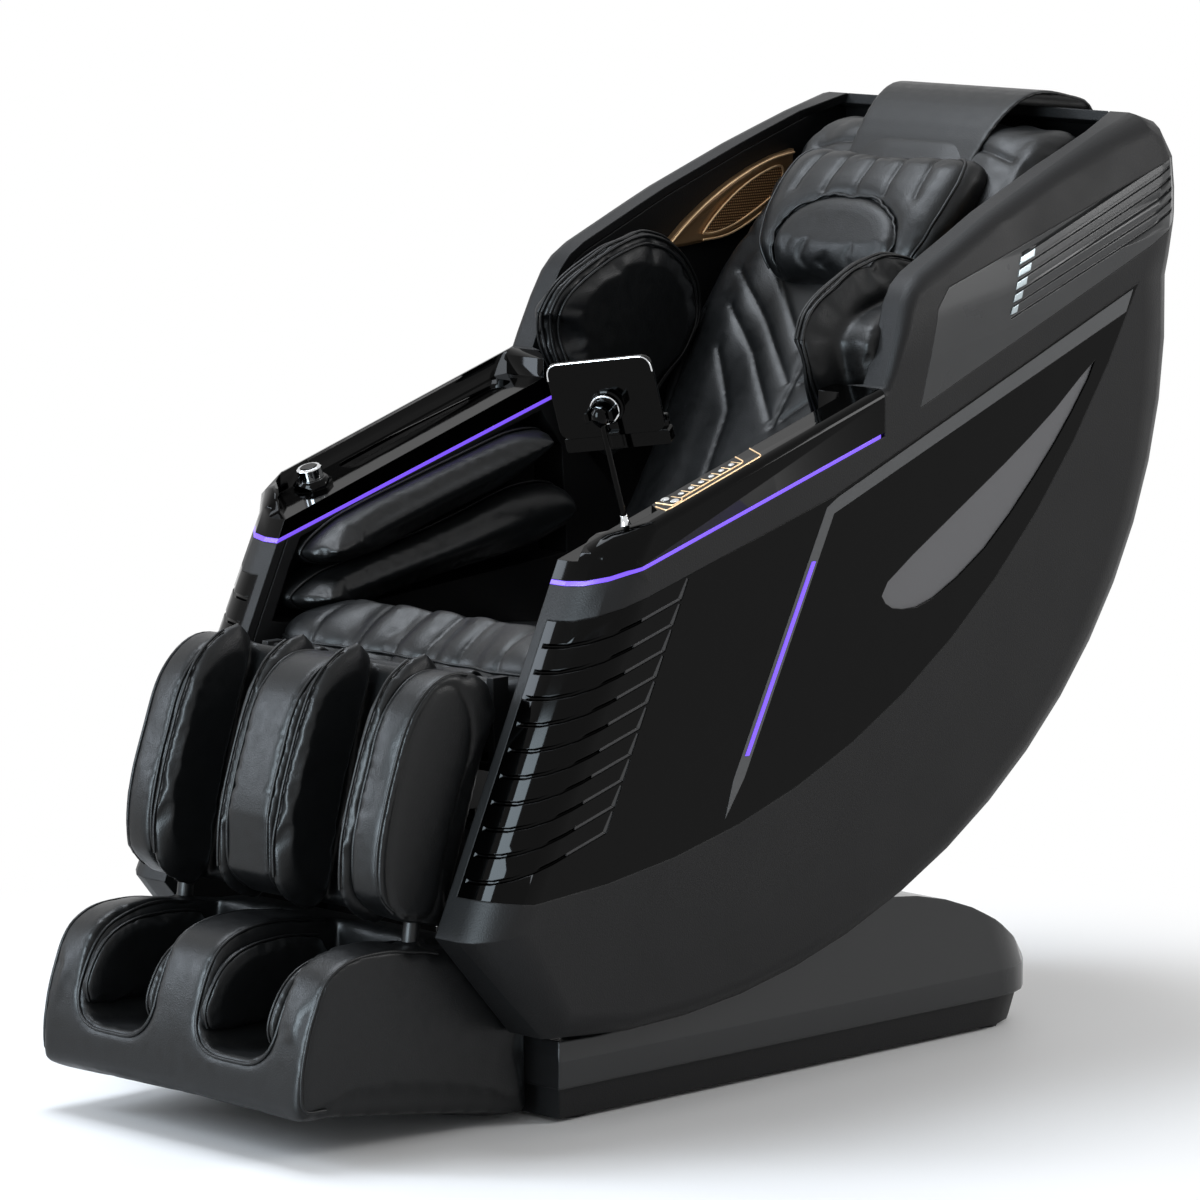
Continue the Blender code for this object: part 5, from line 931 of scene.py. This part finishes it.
# ------------------------------------------------------------------ foot rest
# The same build as the leg rest: a block with two foot wells and a roller in the floor of each; it slides
# out on two coated steel rods.
foot_bm = joined("foot_block")
ROD_CUT = 0.2705
bmesh.ops.bisect_plane(foot_bm, geom=foot_bm.verts[:] + foot_bm.edges[:] + foot_bm.faces[:],
                       plane_co=(0, 0, ROD_CUT), plane_no=(0, 0, 1), clear_outer=True)
bmesh.ops.holes_fill(foot_bm, edges=[e for e in foot_bm.edges if e.is_boundary])
foot_mesh = upholstered("foot_block", 0.006, 3, 0.006, (0, 0, 0), source=foot_bm)
tree = surface_of(foot_mesh)
FOOT_CENTRE = at(0, -0.560, 0.130)
WELL_FLOOR = 0.1244
WELL_INNER, WELL_OUTER, WELL_CORNER = 0.041, 0.194, 0.045
foot_runs = []
for s in (1, -1):
    up = round_front(tree, s * WELL_INNER, FOOT_CENTRE, 108, 22, 18)
    down = round_front(tree, s * WELL_OUTER, FOOT_CENTRE, 22, 108, 18)
    notch = []
    for cx, start, end in ((WELL_INNER + WELL_CORNER, 180, 270), (WELL_OUTER - WELL_CORNER, 270, 360)):
        for i in range(7):
            a = math.radians(start + (end - start) * i / 6)
            spot = struck(tree, at(s * (cx + WELL_CORNER * math.cos(a)), -1.2,
                                   WELL_FLOOR + WELL_CORNER + WELL_CORNER * math.sin(a) - 0.003), (0, 1, 0))
            if spot:
                notch.append(spot)
    foot_runs.append(up + notch + down)
    foot_runs.append(round_front(tree, s * 0.252, FOOT_CENTRE, 112, -22, 26))
sewn(foot_mesh, foot_runs, 0.0025, 0.004)
foot = link_piece("foot_leather", foot_mesh, "footrest", leather, "leather", "foot_block")
tree = surface_of(foot_mesh)
piping("foot_piping", [laid_on(tree, run, 0.0010) for run in foot_runs], 0.0024, "footrest", leather, "leather")

# Two sole pads line each foot well on a padded wall, over a satin sole plate before the roller.
FOOT_FLOOR_SLOPE = math.tan(math.radians(8.0))


def foot_floor(y):
    """Height of the foot wells' floor."""
    return 0.122 - FOOT_FLOOR_SLOPE * (y + 0.740)


sole_edge = through([(-0.736, 0.150), (-0.741, 0.178), (-0.712, 0.226), (-0.668, 0.250), (-0.600, 0.256),
                     (-0.540, 0.248)], 4, closed=False)
sole_outline = sole_edge + [(-0.510, 0.200), (-0.505, 0.130), (-0.600, 0.140), (-0.700, 0.142)]
for number, (x, inwards) in enumerate(((0.189, -0.015), (0.046, 0.015)), 1):
    bm = cut_plate([at(x, y, z) for y, z in sole_outline], (inwards, 0, 0), 0.005)
    pad_mesh = upholstered("foot_block", 0.004, 3, 0.004, source=bm)
    tree = surface_of(pad_mesh)
    run = laid_on(tree, [at(x + inwards * 0.8, y, z) for y, z in sole_edge], 0.0006)
    sewn(pad_mesh, [run], 0.002, 0.004)
    for side, mesh, runs in (("left", pad_mesh, [run]), ("right", other_side(pad_mesh), flipped([run]))):
        pad = link_piece("sole_pad_%s_%d" % (side, number), mesh, "footrest", leather, "leather")
        piping("sole_pad_piping_%s_%d" % (side, number), runs, 0.0018, "footrest", leather, "leather")
for side, s in (("left", 1), ("right", -1)):
    corners = [(s * x, y) for x, y in ((0.092, -0.742), (0.144, -0.742), (0.144, -0.648), (0.092, -0.648))]
    bm = cut_plate([at(x, y, foot_floor(y) + 0.0004) for x, y in corners], (0, 0, 0.0022), 0.0008)
    link_piece("sole_plate_" + side, shaded(written(bm, "sole_plate"), 40), "footrest", satin_paint, "satin_grey")

# Coated steel rods, 22 mm, between the foot rest and the leg rest.
ROD_RADIUS = 0.011
LEG_LEAN = math.radians(8.0)
rod_down = Vector((0, -math.sin(LEG_LEAN), -math.cos(LEG_LEAN)))
rods = bmesh.new()
for s in (1, -1):
    middle = at(s * 0.220, -0.532, 0.262)
    start, end = middle + rod_down * 0.03, middle - rod_down * 0.150
    turn = (end - start).to_track_quat("Z", "Y").to_matrix().to_4x4()
    bmesh.ops.create_cone(rods, cap_ends=True, segments=32, radius1=ROD_RADIUS, radius2=ROD_RADIUS,
                          depth=(end - start).length, matrix=Matrix.Translation((start + end) / 2) @ turn)
bmesh.ops.bevel(rods, geom=[e for e in rods.edges if len(e.link_faces) == 2 and e.calc_face_angle() > 1.0],
                offset=0.001, offset_type="OFFSET", segments=2, profile=0.5, affect="EDGES", material=-1)
link_piece("foot_rods", written(rods, "rods"), "footrest", coated_steel, "steel", "foot_block")
